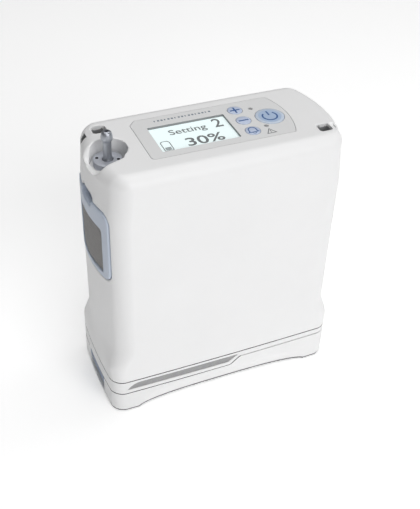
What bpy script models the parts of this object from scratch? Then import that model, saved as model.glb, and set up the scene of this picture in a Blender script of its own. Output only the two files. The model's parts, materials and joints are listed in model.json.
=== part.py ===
# Portable oxygen concentrator, modelled as an assembly of separate pieces.
# Frame: origin at the centre of the underside, +X along the length to the
# power-button end, +Y to the back, +Z up. All dimensions below are in
# millimetres and are scaled to metres when a mesh is made.

import bpy
import bmesh
import math
from mathutils import Vector, Matrix

MM = 0.001
GAP = 0.3                      # clearance between neighbouring pieces

# ---- driving dimensions ------------------------------------------------
HALF_DEPTH = 34.0              # half of the 68 mm depth
BASE_HALF_LEN = 75.0           # half of the 150 mm length at the foot
BODY_HALF_LEN = 74.0           # crown of the bowed end above the flare
BASE_BOW, BODY_BOW = 1.8, 7.8  # how far the ends fall back at the corners
FRONT_BOW = 0.8
BASE_CORNER, BODY_CORNER = 8.0, 9.0
TOP_Z = 171.0                  # top face
TOP_ROUND = 8.0                # rounding of the top edges
WALL = 2.0
TOP_WALL = 3.2
SEAM1_Z = 25.0                 # upper housing to lower housing
SEAM2_LOW, SEAM2_HIGH = 15.4, 20.75   # lower housing to battery, left and right
JOG_X0, JOG_X1 = 2.6, 10.4     # where the battery seam steps up
SEAM = 0.4                     # visible width of the seams

PANEL_X0, PANEL_XR = -42.2, 46.7
PANEL_Y0, PANEL_Y1 = -19.0, 22.0
PANEL_FLOOR = 169.6
LCD = (-34.2, 11.4, -13.4, 12.0)      # x0, x1, y0, y1 of the visible display
BUTTONS = {"button_plus": (19.4, 13.4, 4.2), "button_minus": (19.5, 1.6, 4.2),
           "button_alert": (19.8, -10.1, 4.2), "button_power": (35.5, 0.9, 8.3)}
LEDS = {"status_led": (28.7, 12.2), "alert_led": (29.1, -7.9)}

NOZZLE_X, NOZZLE_Y = -60.3, 1.0
POCKET_X, POCKET_Y, POCKET_R = -60.0, 0.0, 10.4
POCKET_FLOOR = 160.0
DISH_Y, DISH_Z = -4.5, 174.5   # axis of the cone that opens the pocket to the left end
STRAP_X, STRAP_Y, STRAP_W, STRAP_D = 59.0, 20.0, 7.6, 7.2

FILTER_Y, FILTER_Z0, FILTER_Z1 = 25.6, 99.6, 145.4
MESH_Y, MESH_Z0, MESH_Z1 = 18.6, 104.0, 133.8
FILTER_SEAT = 67.3             # flat floor of the filter recess

SCREW_X, SCREW_Y = 64.6, 26.8
HUMP_HALF = 21.5               # battery hump that runs in the housing channel
HUMP_TOP = 20.4
CELL_R, CELL_LEN = 9.15, 65.0

# ---- scene set-up ------------------------------------------------------
for old in list(bpy.data.objects):
    bpy.data.objects.remove(old, do_unlink=True)

parts = bpy.data.collections.new("oxygen_concentrator")
cutters = bpy.data.collections.new("cutters")
bpy.context.scene.collection.children.link(parts)
bpy.context.scene.collection.children.link(cutters)


def material(name, rgb, rough=0.45, metal=0.0):
    m = bpy.data.materials.new(name)
    m.use_nodes = True
    b = m.node_tree.nodes["Principled BSDF"]
    b.inputs["Base Color"].default_value = (*rgb, 1.0)
    b.inputs["Roughness"].default_value = rough
    b.inputs["Metallic"].default_value = metal
    m.diffuse_color = (*rgb, 1.0)
    return m


WHITE = (0.86, 0.86, 0.87)
MATS = {
    "upper_housing": (WHITE, 0.38, 0), "lower_housing": (WHITE, 0.38, 0),
    "battery_case": (WHITE, 0.38, 0), "battery_base": ((0.75, 0.75, 0.76), 0.5, 0),
    "control_panel": ((0.80, 0.80, 0.81), 0.42, 0),
    "exhaust_grille": ((0.30, 0.30, 0.31), 0.6, 0),
    "display_window": ((0.80, 0.92, 0.93), 0.12, 0),
    "filter_frame_left": ((0.42, 0.50, 0.60), 0.45, 0),
    "filter_mesh_left": ((0.25, 0.25, 0.26), 0.8, 0),
    "battery_latch": ((0.20, 0.25, 0.36), 0.45, 0),
    "cannula_nozzle": ((0.45, 0.46, 0.49), 0.3, 0.6),
    "button": ((0.38, 0.52, 0.72), 0.4, 0),
    "metal": ((0.62, 0.63, 0.65), 0.35, 1.0),
    "steel": ((0.55, 0.56, 0.58), 0.3, 1.0),
    "board": ((0.03, 0.17, 0.08), 0.5, 0),
    "black": ((0.03, 0.03, 0.035), 0.5, 0),
    "rubber": ((0.02, 0.02, 0.02), 0.85, 0),
    "tube": ((0.75, 0.78, 0.80), 0.3, 0),
    "cell": ((0.05, 0.22, 0.42), 0.45, 0),
    "led": ((0.35, 0.35, 0.36), 0.3, 0),
    "brass": ((0.75, 0.56, 0.25), 0.3, 1.0),
}


def finish(bm, name, mat, origin=(0, 0, 0), smooth=None, coll=None):
    """Turn a bmesh in millimetres (world coordinates) into an object whose
    origin sits at the given point."""
    bmesh.ops.transform(bm, matrix=Matrix.Translation(-Vector(origin)), verts=bm.verts)
    bmesh.ops.scale(bm, vec=(MM, MM, MM), verts=bm.verts)
    bmesh.ops.recalc_face_normals(bm, faces=bm.faces)
    me = bpy.data.meshes.new(name)
    bm.to_mesh(me)
    bm.free()
    ob = bpy.data.objects.new(name, me)
    ob.location = Vector(origin) * MM
    (coll or parts).objects.link(ob)
    if coll is cutters:
        ob.hide_render = True
        ob.display_type = "WIRE"
    else:
        rgb, rough, metal = MATS[mat]
        me.materials.append(material(name, rgb, rough, metal))
    if smooth is not None:
        me.shade_smooth()
        me.set_sharp_from_angle(angle=math.radians(smooth))
    return ob


def boolean(ob, other, op="DIFFERENCE"):
    """Apply one exact Boolean and bake its result into the object's mesh."""
    m = ob.modifiers.new("cut", "BOOLEAN")
    m.solver = "EXACT"
    m.operation = op
    m.object = other
    bpy.context.view_layer.update()
    dg = bpy.context.evaluated_depsgraph_get()
    me = bpy.data.meshes.new_from_object(ob.evaluated_get(dg))
    ob.modifiers.remove(m)
    old = ob.data
    mats = [s for s in old.materials]
    ob.data = me
    me.materials.clear()
    for s in mats:
        me.materials.append(s)
    for p in me.polygons:
        p.material_index = 0
    me.name = ob.name
    bpy.data.meshes.remove(old)
    return ob


def clean(ob, dist=0.002):
    bm = bmesh.new()
    bm.from_mesh(ob.data)
    bmesh.ops.remove_doubles(bm, verts=bm.verts, dist=dist * MM)
    bmesh.ops.dissolve_degenerate(bm, edges=bm.edges, dist=dist * MM)
    bm.to_mesh(ob.data)
    bm.free()
    return ob


def resmooth(ob, angle=35):
    ob.data.shade_smooth()
    ob.data.set_sharp_from_angle(angle=math.radians(angle))
    return ob


# ---- primitive shapes --------------------------------------------------
def box_bm(x0, x1, y0, y1, z0, z1, bevel=0.0, segs=2, only_z=False):
    bm = bmesh.new()
    bmesh.ops.create_cube(bm, size=1.0)
    bmesh.ops.scale(bm, vec=(x1 - x0, y1 - y0, z1 - z0), verts=bm.verts)
    bmesh.ops.translate(bm, vec=((x0 + x1) / 2, (y0 + y1) / 2, (z0 + z1) / 2), verts=bm.verts)
    if bevel:
        edges = [e for e in bm.edges if not only_z or abs((e.verts[0].co - e.verts[1].co).z) > 1e-6]
        bmesh.ops.bevel(bm, geom=edges, offset=bevel, segments=segs, profile=0.5, affect="EDGES")
    return bm


def cyl_bm(axis, r, a, b, c0, c1, n=24, r2=None):
    """Cylinder or cone along axis from c0 to c1; (a, b) are the other two
    coordinates in X, Y, Z order."""
    bm = bmesh.new()
    bmesh.ops.create_cone(bm, cap_ends=True, cap_tris=False, segments=n, radius1=r,
                          radius2=r if r2 is None else r2, depth=c1 - c0)
    mid = (c0 + c1) / 2
    if axis == "Z":
        rot, loc = Matrix.Identity(4), (a, b, mid)
    elif axis == "X":
        rot, loc = Matrix.Rotation(math.pi / 2, 4, "Y"), (mid, a, b)
    else:
        rot, loc = Matrix.Rotation(-math.pi / 2, 4, "X"), (a, mid, b)
    bmesh.ops.transform(bm, matrix=Matrix.Translation(loc) @ rot, verts=bm.verts)
    return bm


def prism_bm(points, axis, c0, c1):
    """Extrude a closed outline along an axis. The outline gives the two other
    coordinates in X, Y, Z order."""
    bm = bmesh.new()

    def put(p, c):
        return {"X": (c, p[0], p[1]), "Y": (p[0], c, p[1]), "Z": (p[0], p[1], c)}[axis]
    lo = [bm.verts.new(put(p, c0)) for p in points]
    face = bm.faces.new(lo)
    out = bmesh.ops.extrude_face_region(bm, geom=[face])
    moved = [g for g in out["geom"] if isinstance(g, bmesh.types.BMVert)]
    step = {"X": (c1 - c0, 0, 0), "Y": (0, c1 - c0, 0), "Z": (0, 0, c1 - c0)}[axis]
    bmesh.ops.translate(bm, vec=step, verts=moved)
    return bm


def round_rect(x0, x1, y0, y1, r, n=4):
    pts = []
    for cx, cy, a0 in ((x1 - r, y1 - r, 0), (x0 + r, y1 - r, 90), (x0 + r, y0 + r, 180), (x1 - r, y0 + r, 270)):
        for i in range(n + 1):
            t = math.radians(a0 + 90 * i / n)
            pts.append((cx + r * math.cos(t), cy + r * math.sin(t)))
    return pts


def cutter(bm, name="cut"):
    return finish(bm, name, None, coll=cutters)


def cut(ob, bm, op="DIFFERENCE"):
    c = cutter(bm, "cut_" + ob.name)
    boolean(ob, c, op)
    return ob


def turned(name, mat, profile, x, y, n=24, smooth=35):
    """Solid of revolution about a vertical axis at (x, y): a closed profile
    of (radius, height) points that starts on the outer side at the top and
    runs down, spun with a Screw modifier."""
    me = bpy.data.meshes.new(name)
    pts = [(r * MM, 0, z * MM) for r, z in profile]
    k = len(pts)
    me.from_pydata(pts, [(i, (i + 1) % k) for i in range(k)], [])
    ob = bpy.data.objects.new(name, me)
    ob.location = (x * MM, y * MM, 0)
    parts.objects.link(ob)
    rgb, rough, metal = MATS[mat]
    me.materials.append(material(name, rgb, rough, metal))
    s = ob.modifiers.new("turn", "SCREW")
    s.axis = "Z"
    s.angle = 2 * math.pi
    s.steps = s.render_steps = n
    s.use_merge_vertices = True
    s.merge_threshold = 0.00002
    s.use_smooth_shade = True
    return ob


def tube(name, mat, pts, r, smooth=True):
    """Round hose along a smooth path through the given points, filled ends."""
    def spline(p, per=4):
        out = []
        for i in range(len(p) - 1):
            p0 = Vector(p[max(i - 1, 0)])
            p1, p2 = Vector(p[i]), Vector(p[i + 1])
            p3 = Vector(p[min(i + 2, len(p) - 1)])
            for j in range(per):
                t = j / per
                out.append(0.5 * ((2 * p1) + (p2 - p0) * t + (2 * p0 - 5 * p1 + 4 * p2 - p3) * t * t
                                  + (3 * p1 - p0 - 3 * p2 + p3) * t ** 3))
        out.append(Vector(p[-1]))
        return out
    path = spline(pts)
    cu = bpy.data.curves.new(name, "CURVE")
    cu.dimensions = "3D"
    cu.bevel_depth = r * MM
    cu.bevel_resolution = 2
    cu.use_fill_caps = True
    sp = cu.splines.new("POLY")
    sp.points.add(len(path) - 1)
    for q, v in zip(sp.points, path):
        q.co = (v.x * MM, v.y * MM, v.z * MM, 1)
    ob = bpy.data.objects.new(name, cu)
    parts.objects.link(ob)
    rgb, rough, metal = MATS[mat]
    cu.materials.append(material(name, rgb, rough, metal))
    return ob


# ---- the body's outline ------------------------------------------------
def outline(a, b, r, bow, fb, z, nc=6, nx=4, ny=4):
    """Rounded rectangle of half-sizes a and b at height z. Its ends are bowed:
    they fall back by bow at the corners; front and back fall back by fb."""
    pts = []
    quads = ((1, 1, 0), (-1, 1, 90), (-1, -1, 180), (1, -1, 270))
    for k, (sx, sy, a0) in enumerate(quads):
        cx, cy = sx * (a - r), sy * (b - r)
        arc = [(cx + r * math.cos(math.radians(a0 + 90 * i / nc)),
                cy + r * math.sin(math.radians(a0 + 90 * i / nc))) for i in range(nc + 1)]
        pts += arc
        sx2, sy2, a02 = quads[(k + 1) % 4]
        nxt = (sx2 * (a - r) + r * math.cos(math.radians(a02)), sy2 * (b - r) + r * math.sin(math.radians(a02)))
        n = nx if k % 2 == 0 else ny
        for i in range(1, n):
            t = i / n
            pts.append((arc[-1][0] * (1 - t) + nxt[0] * t, arc[-1][1] * (1 - t) + nxt[1] * t))
    out = []
    for x, y in pts:
        wx = x - math.copysign(bow * (y / b) ** 2 * abs(x) / a, x)
        wy = y - math.copysign(fb * (x / a) ** 2 * abs(y) / b, y)
        out.append((wx, wy, z))
    return out


def loft(levels, **kw):
    """Skin a closed body over stacked outlines of different shapes."""
    bm = bmesh.new()
    rings = [[bm.verts.new(p) for p in outline(*lv, **kw)] for lv in levels]
    n = len(rings[0])
    for lo, hi in zip(rings, rings[1:]):
        for i in range(n):
            bm.faces.new((lo[i], lo[(i + 1) % n], hi[(i + 1) % n], hi[i]))
    bm.faces.new(list(reversed(rings[0])))
    bm.faces.new(rings[-1])
    return bm


def flare(z):
    """Share of the body's shape (1) against the foot's shape (0) at height z."""
    t = min(max((z - 33.0) / (50.0 - 33.0), 0.0), 1.0)
    return t * t * (3 - 2 * t)


def body_level(z, inset=0.0, round_in=0.0):
    f = flare(z)
    a = BASE_HALF_LEN + (BODY_HALF_LEN - BASE_HALF_LEN) * f
    bow = BASE_BOW + (BODY_BOW - BASE_BOW) * f
    r = BASE_CORNER + (BODY_CORNER - BASE_CORNER) * f
    t = min(max((z - 138.0) / 25.0, 0.0), 1.0)      # the ends pull in a little more under the top edge
    t = t * t * (3 - 2 * t)
    a, bow = a - 0.9 * t, bow + 1.4 * t
    d = inset + round_in
    return (a - d, HALF_DEPTH - d, max(r - d * 0.6, 2.5), bow, FRONT_BOW, z)


# =======================================================================
# upper housing
# =======================================================================
z_flare = [33, 37, 41, 45, 50]
outer = [body_level(SEAM1_Z + SEAM / 2)] + [body_level(z) for z in z_flare] + [body_level(z) for z in (100, 138, 144, 150, 156)] + [body_level(TOP_Z - TOP_ROUND)]
for k in range(1, 6):
    ph = math.radians(90 * k / 5)
    outer.append(body_level(TOP_Z - TOP_ROUND * (1 - math.sin(ph)), round_in=TOP_ROUND * (1 - math.cos(ph))))
housing = finish(loft(outer), "upper_housing", "upper_housing")

inner = [body_level(20, WALL)] + [body_level(z, WALL) for z in (33, 41, 50, 138, 150)] + [
    body_level(TOP_Z - TOP_ROUND, WALL), body_level(TOP_Z - TOP_WALL - 2.2, WALL, 0.7), body_level(TOP_Z - TOP_WALL, WALL, 3.2)]
inner = [(a, b, r, s, f, z) for (a, b, r, s, f, z) in inner]
cavity = cutter(loft(inner, nc=4, nx=2, ny=4), "cavity")
# solid blocks that stay inside the shell: outlet pocket, strap eyes, filter seats, screw posts
for bm in (box_bm(-80, -45.6, -12.6, 14.6, POCKET_FLOOR - 3, 175), box_bm(-80, -60.0, -20.5, 14.6, 157.0, 175),
           box_bm(-80, -53.0, 13, 40, 156, 175), box_bm(53.0, 80, -40, -13, 156, 175),
           box_bm(-80, -65, -29.5, 29.5, 91, 153), box_bm(65, 80, -29.5, 29.5, 91, 153)):
    boolean(cavity, cutter(bm, "block"))
for sx in (-1, 1):
    for sy in (-1, 1):
        boolean(cavity, cutter(cyl_bm("Z", 4.2, sx * SCREW_X, sy * SCREW_Y, 10, 44, n=14), "post"))
boolean(housing, cavity)

# outlet pocket: a conical dish that opens to the left end, and a round well in it
dish = cutter(cyl_bm("X", 19.1, DISH_Y, DISH_Z, -90, -54.3, n=44, r2=7.32), "dish")
boolean(dish, cutter(prism_bm([(-95, 164.27), (-72.6, 164.27), (-70.4, 161.83), (-50, 161.83), (-50, 188.7), (-95, 188.7)], "Y", -37.7, 37.7), "dish_room"),
        "INTERSECT")
boolean(housing, dish)
cut(housing, cyl_bm("Z", POCKET_R, POCKET_X, POCKET_Y, POCKET_FLOOR, 180, n=36))
cut(housing, cyl_bm("Z", 3.9, NOZZLE_X, NOZZLE_Y, POCKET_FLOOR - 5, POCKET_FLOOR + 2, n=20))

# strap eyes at two opposite top corners: a shaft from the top and an outlet at the end
for s in (-1, 1):
    cx, cy = s * STRAP_X, -s * STRAP_Y
    x0, x1 = cx - STRAP_W / 2, cx + STRAP_W / 2
    cut(housing, box_bm(x0, x1, cy - STRAP_D / 2, cy + STRAP_D / 2, 159.2, 180, bevel=1.0, only_z=True))
    lo, hi = (cx - 0.5, 90) if s > 0 else (-90, cx + 0.5)
    cut(housing, box_bm(lo, hi, cy - STRAP_D / 2 + 0.4, cy + STRAP_D / 2 - 0.4, 159.4, 165.4))

# control panel recess, display opening, button and lamp holes
def panel_outline(g):
    x0, y0, y1 = PANEL_X0 + g, PANEL_Y0 + g, PANEL_Y1 - g
    # right edge: an arc through three points
    sag, half = 4.6, (PANEL_Y1 - PANEL_Y0) / 2
    rad = (half * half + sag * sag) / (2 * sag)
    ym = (PANEL_Y0 + PANEL_Y1) / 2
    xc = PANEL_XR - rad
    pts = [(x0 + 2.0, y0), ]
    yb = y0
    for i in range(0, 9):
        y = yb + 1.2 + (y1 - yb - 2.4) * i / 8
        pts.append((xc + math.sqrt((rad - g) ** 2 - (y - ym) ** 2), y))
    pts.insert(1, (pts[1][0] - 1.4, y0))
    pts.append((pts[-1][0] - 1.4, y1))
    pts += [(x0 + 4.0, y1), (x0, y1 - 4.2), (x0, y0 + 2.0)]
    return pts


cut(housing, prism_bm(panel_outline(0), "Z", PANEL_FLOOR, 180))
cut(housing, box_bm(LCD[0] - 1.2, LCD[1] + 1.2, LCD[2] - 1.2, LCD[3] + 1.2, 160, 175))
for bx, by, br in BUTTONS.values():
    cut(housing, cyl_bm("Z", br + 0.5, bx, by, 160, 175, n=20))
for lx, ly in LEDS.values():
    cut(housing, cyl_bm("Z", 1.4, lx, ly, 160, 175, n=10))

# filter seats and air windows in both ends, with a finger notch above each
def filter_outline(g):
    y, z0, z1 = FILTER_Y - g, FILTER_Z0 + g, FILTER_Z1 - g
    pts = []
    for cy, cz, a0, r in ((y - 6, z1 - 6, 0, 6), (-y + 6, z1 - 6, 90, 6), (-y + 7, z0 + 7, 180, 7), (y - 7, z0 + 7, 270, 7)):
        for i in range(5):
            t = math.radians(a0 + 90 * i / 4)
            pts.append((cy + r * math.cos(t), cz + r * math.sin(t)))
    return pts


for s in (-1, 1):
    x = (s * FILTER_SEAT, s * 90)
    cut(housing, prism_bm(filter_outline(0), "X", min(x), max(x)))
    x = (s * 60, s * 90)
    cut(housing, box_bm(min(x), max(x), -MESH_Y + 2, MESH_Y - 2, MESH_Z0 + 2, MESH_Z1 - 2))
    x = (s * 69.2, s * 90)
    cut(housing, prism_bm(round_rect(-9.0, 9.0, 138.6, 149.6, 2.5, 3), "X", min(x), max(x)))

# screw holes in the posts, power inlet hole
for sx in (-1, 1):
    for sy in (-1, 1):
        cut(housing, cyl_bm("Z", 1.8, sx * SCREW_X, sy * SCREW_Y, 20, 39, n=12))
JACK_Y, JACK_Z = 15.0, 58.0
cut(housing, cyl_bm("X", 5.3, JACK_Y, JACK_Z, 60, 90, n=20))
clean(housing)
resmooth(housing, 30)

# =======================================================================
# lower housing: band with the exhaust slot, floor and battery channel
# =======================================================================
def foot_level(z, inset=0.0, r_in=0.0):
    d = inset + r_in
    return (BASE_HALF_LEN - d, HALF_DEPTH - d, max(BASE_CORNER - 0.6 * d, 2.5), BASE_BOW, FRONT_BOW, z)


lower = finish(loft([foot_level(SEAM2_LOW), foot_level(SEAM1_Z - SEAM / 2)]), "lower_housing", "lower_housing")
room = cutter(loft([foot_level(22.8, 2.2), foot_level(30, 2.2)], nc=4, nx=2, ny=2), "tray_room")
for sx in (-1, 1):
    for sy in (-1, 1):
        boolean(room, cutter(cyl_bm("Z", 5.0, sx * SCREW_X, sy * SCREW_Y, 10, 40, n=14), "post"))
boolean(lower, room)
# battery side: the high seam on the right, the channel for the battery hump
cut(lower, prism_bm([(JOG_X0, 10), (JOG_X0, SEAM2_LOW - 0.05), (JOG_X1, SEAM2_HIGH), (90, SEAM2_HIGH), (90, 10)], "Y", -40, 40))
cut(lower, box_bm(-68.0, 30, -HUMP_HALF - GAP, HUMP_HALF + GAP, 10, SEAM2_HIGH))

# exhaust slot: pointed left tip, slanted right end; a duct leads up from it
def slot_outline(g):
    return [(-65.2 + 2 * g, 18.2 + g), (2.0 - g, 18.0 + g), (8.9 - 2 * g, 22.9 - g), (-57.0, 22.9 - g),
            (-60.5 + 0.5 * g, 22.1 - g), (-63.2 + g, 20.4 - 0.5 * g)]


cut(lower, prism_bm(slot_outline(0), "Y", -40, -31.6))
cut(lower, box_bm(-58, 0, -31.8, -24.0, 18.0, 30))
for sx in (-1, 1):
    for sy in (-1, 1):
        cut(lower, cyl_bm("Z", 1.9, sx * SCREW_X, sy * SCREW_Y, 10, 40, n=12))
        cut(lower, cyl_bm("Z", 3.4, sx * SCREW_X, sy * SCREW_Y, 10, 22.4, n=14))
LATCH_HOLE = (39.5, 54.5, -10.0, 10.0)
cut(lower, box_bm(LATCH_HOLE[0], LATCH_HOLE[1], LATCH_HOLE[2], LATCH_HOLE[3], 10, 30))
clean(lower)
resmooth(lower, 30)

grille = finish(prism_bm(slot_outline(0.3), "Y", -33.3, -31.9), "exhaust_grille", "exhaust_grille")
for k in range(9):
    x = -52 + k * 6.2
    cut(grille, box_bm(x, x + 4.4, -36, -30, 19.4, 21.6))

column_latch = finish(box_bm(LATCH_HOLE[0] + GAP, LATCH_HOLE[1] - GAP, -9.7, 6.0, 20.9, 22.6, bevel=0.5), "column_latch",
                      "battery_latch", origin=(47, 0, 21.75))

# =======================================================================
# control panel, display, buttons
# =======================================================================
panel = finish(prism_bm(panel_outline(0.3), "Z", PANEL_FLOOR + GAP, TOP_Z), "control_panel", "control_panel")
cut(panel, box_bm(*LCD, 165, 175))
for bx, by, br in BUTTONS.values():
    cut(panel, cyl_bm("Z", br + 0.3, bx, by, 165, 175, n=28))
for lx, ly in LEDS.values():
    cut(panel, cyl_bm("Z", 1.3, lx, ly, 165, 175, n=10))
clean(panel)

finish(box_bm(LCD[0] - 0.9, LCD[1] + 0.9, LCD[2] - 0.9, LCD[3] + 0.9, 168.7, PANEL_FLOOR), "display_window", "display_window")
lcd = finish(box_bm(LCD[0] - 3.2, LCD[1] + 2.4, LCD[2] - 3.4, LCD[3] + 3.4, 163.6, 167.4), "lcd_module", "metal")
cut(lcd, box_bm(LCD[0] - 0.6, LCD[1] + 0.6, LCD[2] - 0.6, LCD[3] + 0.6, 166, 168.4), "UNION")
board = finish(box_bm(-41, 45.2, -19.6, 20.6, 160.2, 161.8), "display_board", "board")
for name, (bx, by, br) in BUTTONS.items():
    b = finish(cyl_bm("Z", br, bx, by, 163.0, TOP_Z + 0.15, n=28), name, "button", origin=(bx, by, TOP_Z), smooth=40)
for name, (lx, ly) in LEDS.items():
    finish(cyl_bm("Z", 1.0, lx, ly, 162.2, TOP_Z, n=10), name, "led", origin=(lx, ly, TOP_Z), smooth=40)

# =======================================================================
# oxygen outlet: barbed nozzle, flanged base disc, seal ring
# =======================================================================
BORE_R = 1.2
barb = [(2.0, 181.0), (2.6, 180.3), (3.05, 178.8), (3.2, 177.2), (3.1, 176.0), (2.85, 175.3), (2.35, 174.9),
        (2.3, 170.0), (2.35, 166.0), (2.9, 164.6), (2.9, 153.8), (BORE_R, 153.8), (BORE_R, 180.4), (1.5, 181.0)]
turned("cannula_nozzle", "cannula_nozzle", barb, NOZZLE_X, NOZZLE_Y, n=20)
DISC_R = 8.0
disc = finish(cyl_bm("Z", DISC_R, NOZZLE_X, NOZZLE_Y, POCKET_FLOOR + GAP, 164.0, n=32), "nozzle_base", "cannula_nozzle",
              origin=(NOZZLE_X, NOZZLE_Y, 164), smooth=40)
cut(disc, cyl_bm("Z", 3.2, NOZZLE_X, NOZZLE_Y, 150, 170, n=20))
for s in (-1, 1):
    cut(disc, cyl_bm("Z", 0.9, NOZZLE_X + s * 5.3, NOZZLE_Y - s * 2.5, 162.0, 170, n=10))
resmooth(disc, 40)
ring = []
for i in range(10):
    t = 2 * math.pi * i / 10
    ring.append((4.3 + 0.9 * math.cos(-t + math.pi / 2), 155.8 + 0.9 * math.sin(-t + math.pi / 2)))
turned("nozzle_seal", "rubber", ring, NOZZLE_X, NOZZLE_Y, n=20)

# =======================================================================
# filters: bowed frame with a mesh behind it, one at each end
# =======================================================================
def body_solid(grow, name):
    return cutter(loft([(BODY_HALF_LEN + grow, HALF_DEPTH + 4, BODY_CORNER, BODY_BOW * ((HALF_DEPTH + 4) / HALF_DEPTH) ** 2, 0, z)
                        for z in (80, 160)], nc=2, nx=2, ny=10), name)


for s, side in ((-1, "left"), (1, "right")):
    x = (s * (FILTER_SEAT + GAP), s * 90)
    f = finish(prism_bm(filter_outline(0.3), "X", min(x), max(x)), "filter_frame_" + side, "filter_frame_left")
    boolean(f, body_solid(0.6, "skin"), "INTERSECT")
    x = (s * 60, s * 90)
    cut(f, box_bm(min(x), max(x), -MESH_Y, MESH_Y, MESH_Z0, MESH_Z1))
    x = (s * 70.6, s * 90)
    cut(f, prism_bm(round_rect(-8.0, 8.0, 141.6, 152, 2.0, 2), "X", min(x), max(x)))
    clean(f)
    x = (s * (FILTER_SEAT + GAP), s * 90)
    m = finish(box_bm(min(x), max(x), -MESH_Y + GAP, MESH_Y - GAP, MESH_Z0 + GAP, MESH_Z1 - GAP), "filter_mesh_" + side, "filter_mesh_left")
    boolean(m, body_solid(-0.8, "skin"), "INTERSECT")
    clean(m)

# =======================================================================
# battery: case with hump and finger scoops, base plate, cells, board, contacts, latch, spring
# =======================================================================
ROUND = 1.4
foot = []
for k in range(4):
    ph = math.radians(90 * k / 3)
    foot.append(foot_level(ROUND * (1 - math.cos(ph)) if k else 0.0, r_in=ROUND * (1 - math.sin(ph))))
foot.append(foot_level(SEAM2_HIGH - SEAM))
case = finish(loft(foot), "battery_case", "battery_case")
top = SEAM2_LOW - SEAM
for sy in (-1, 1):
    y = (sy * HUMP_HALF, sy * 40)
    cut(case, prism_bm([(-90, top), (JOG_X0 + 0.3, top), (JOG_X1 + 0.3, SEAM2_HIGH - SEAM + 0.05), (JOG_X1 + 0.3, 30), (-90, 30)], "Y", min(y), max(y)))
cut(case, box_bm(-90, -67.6, -40, 40, top, 30))
CAV = (-65.0, 67.8, -19.9, 19.9)
cut(case, box_bm(*CAV, -5, 19.75))

# finger scoops: an arch on the lower front and back edges whose face leans inward
SCOOP_TOP, SCOOP_HALF, SCOOP_DEPTH = 12.9, 58.0, 5.2


def scoop(sy):
    bm = bmesh.new()
    n = 18
    rows = []
    for y in (35.5, 34.0, 31.0, 28.5, 26.0):
        row = []
        for i in range(n + 1):
            t = -1 + 2 * i / n
            z = SCOOP_TOP * (1 - abs(t) ** 3) ** 0.5 - (SCOOP_TOP / SCOOP_DEPTH) * (34.0 - y)
            row.append(bm.verts.new((SCOOP_HALF * t, sy * y, max(z, -1.0 - 0.01 * (i % 2)))))
        row.append(bm.verts.new((SCOOP_HALF, sy * y, -4)))
        row.append(bm.verts.new((-SCOOP_HALF, sy * y, -4)))
        rows.append(row)
    m = n + 3
    for p, q in zip(rows, rows[1:]):
        for i in range(m):
            bm.faces.new((p[i], p[(i + 1) % m], q[(i + 1) % m], q[i]))
    bm.faces.new(rows[0])
    bm.faces.new(rows[-1])
    bmesh.ops.recalc_face_normals(bm, faces=bm.faces)
    return bm


for sy in (-1, 1):
    cut(case, scoop(sy))
# latch bay on the left end; slot for the contacts
cut(case, box_bm(-90, -68.6, -14.4, 14.4, 2.4, 30))
cut(case, box_bm(-70, -60, -8, 8, 16, 19))
clean(case)
resmooth(case, 30)

finish(box_bm(CAV[0] + GAP, CAV[1] - GAP, CAV[2] + GAP, CAV[3] - GAP, 0, 1.0), "battery_base", "battery_base")
k = 0
for cx in (-31.0, 34.6):
    for cy in (-9.6, 9.6):
        k += 1
        finish(cyl_bm("X", CELL_R, cy, 10.4, cx - CELL_LEN / 2, cx + CELL_LEN / 2, n=24), "battery_cell_%d" % k, "cell",
               origin=(cx, cy, 10.4), smooth=40)
finish(box_bm(-64.7, -63.8, -17, 17, 2, 18), "battery_board", "board")
finish(box_bm(-67.4, -65.1, -7.7, 7.7, 16.3, 18.7), "battery_contacts", "brass")

LATCH_Y = 14.0
latch = finish(prism_bm([(-74.5, 14.8), (-74.9, 14.2), (-74.9, 8.6), (-74.3, 6.6), (-72.8, 5.6), (-69.0, 5.6), (-69.0, 14.8)], "Y", -LATCH_Y, LATCH_Y),
               "battery_latch", "battery_latch", origin=(-72, 0, 15))
cut(latch, cyl_bm("Z", 1.5, -70.8, 0, 0, 13.2, n=12))
coil = []
turns, per = 5, 8
for i in range(turns * per + 1):
    t = 2 * math.pi * i / per
    coil.append((-70.8 + 0.95 * math.cos(t), 0.95 * math.sin(t), 2.95 + (10.3 - 2.95) * i / (turns * per)))
cu = tube("latch_spring", "steel", coil[::2], 0.22)

# =======================================================================
# screws
# =======================================================================
for k, (sx, sy) in enumerate(((-1, -1), (1, -1), (-1, 1), (1, 1)), 1):
    prof = [(1.0, 22.1), (3.0, 22.1)]
    me_prof = [(1.4, 37.0), (1.4, 22.1), (3.0, 22.1), (3.0, 20.9), (0.9, 20.9), (0.9, 21.5), (0.0, 21.5), (0.0, 37.0)]
    bm = cyl_bm("Z", 1.4, sx * SCREW_X, sy * SCREW_Y, 21.9, 37, n=10)
    sc = finish(bm, "housing_screw_%d" % k, "steel", origin=(sx * SCREW_X, sy * SCREW_Y, 22), smooth=40)
    cut(sc, cyl_bm("Z", 3.0, sx * SCREW_X, sy * SCREW_Y, 20.9, 22.1, n=14), "UNION")
    cut(sc, cyl_bm("Z", 1.0, sx * SCREW_X, sy * SCREW_Y, 20, 21.6, n=6))
    resmooth(sc, 40)

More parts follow.
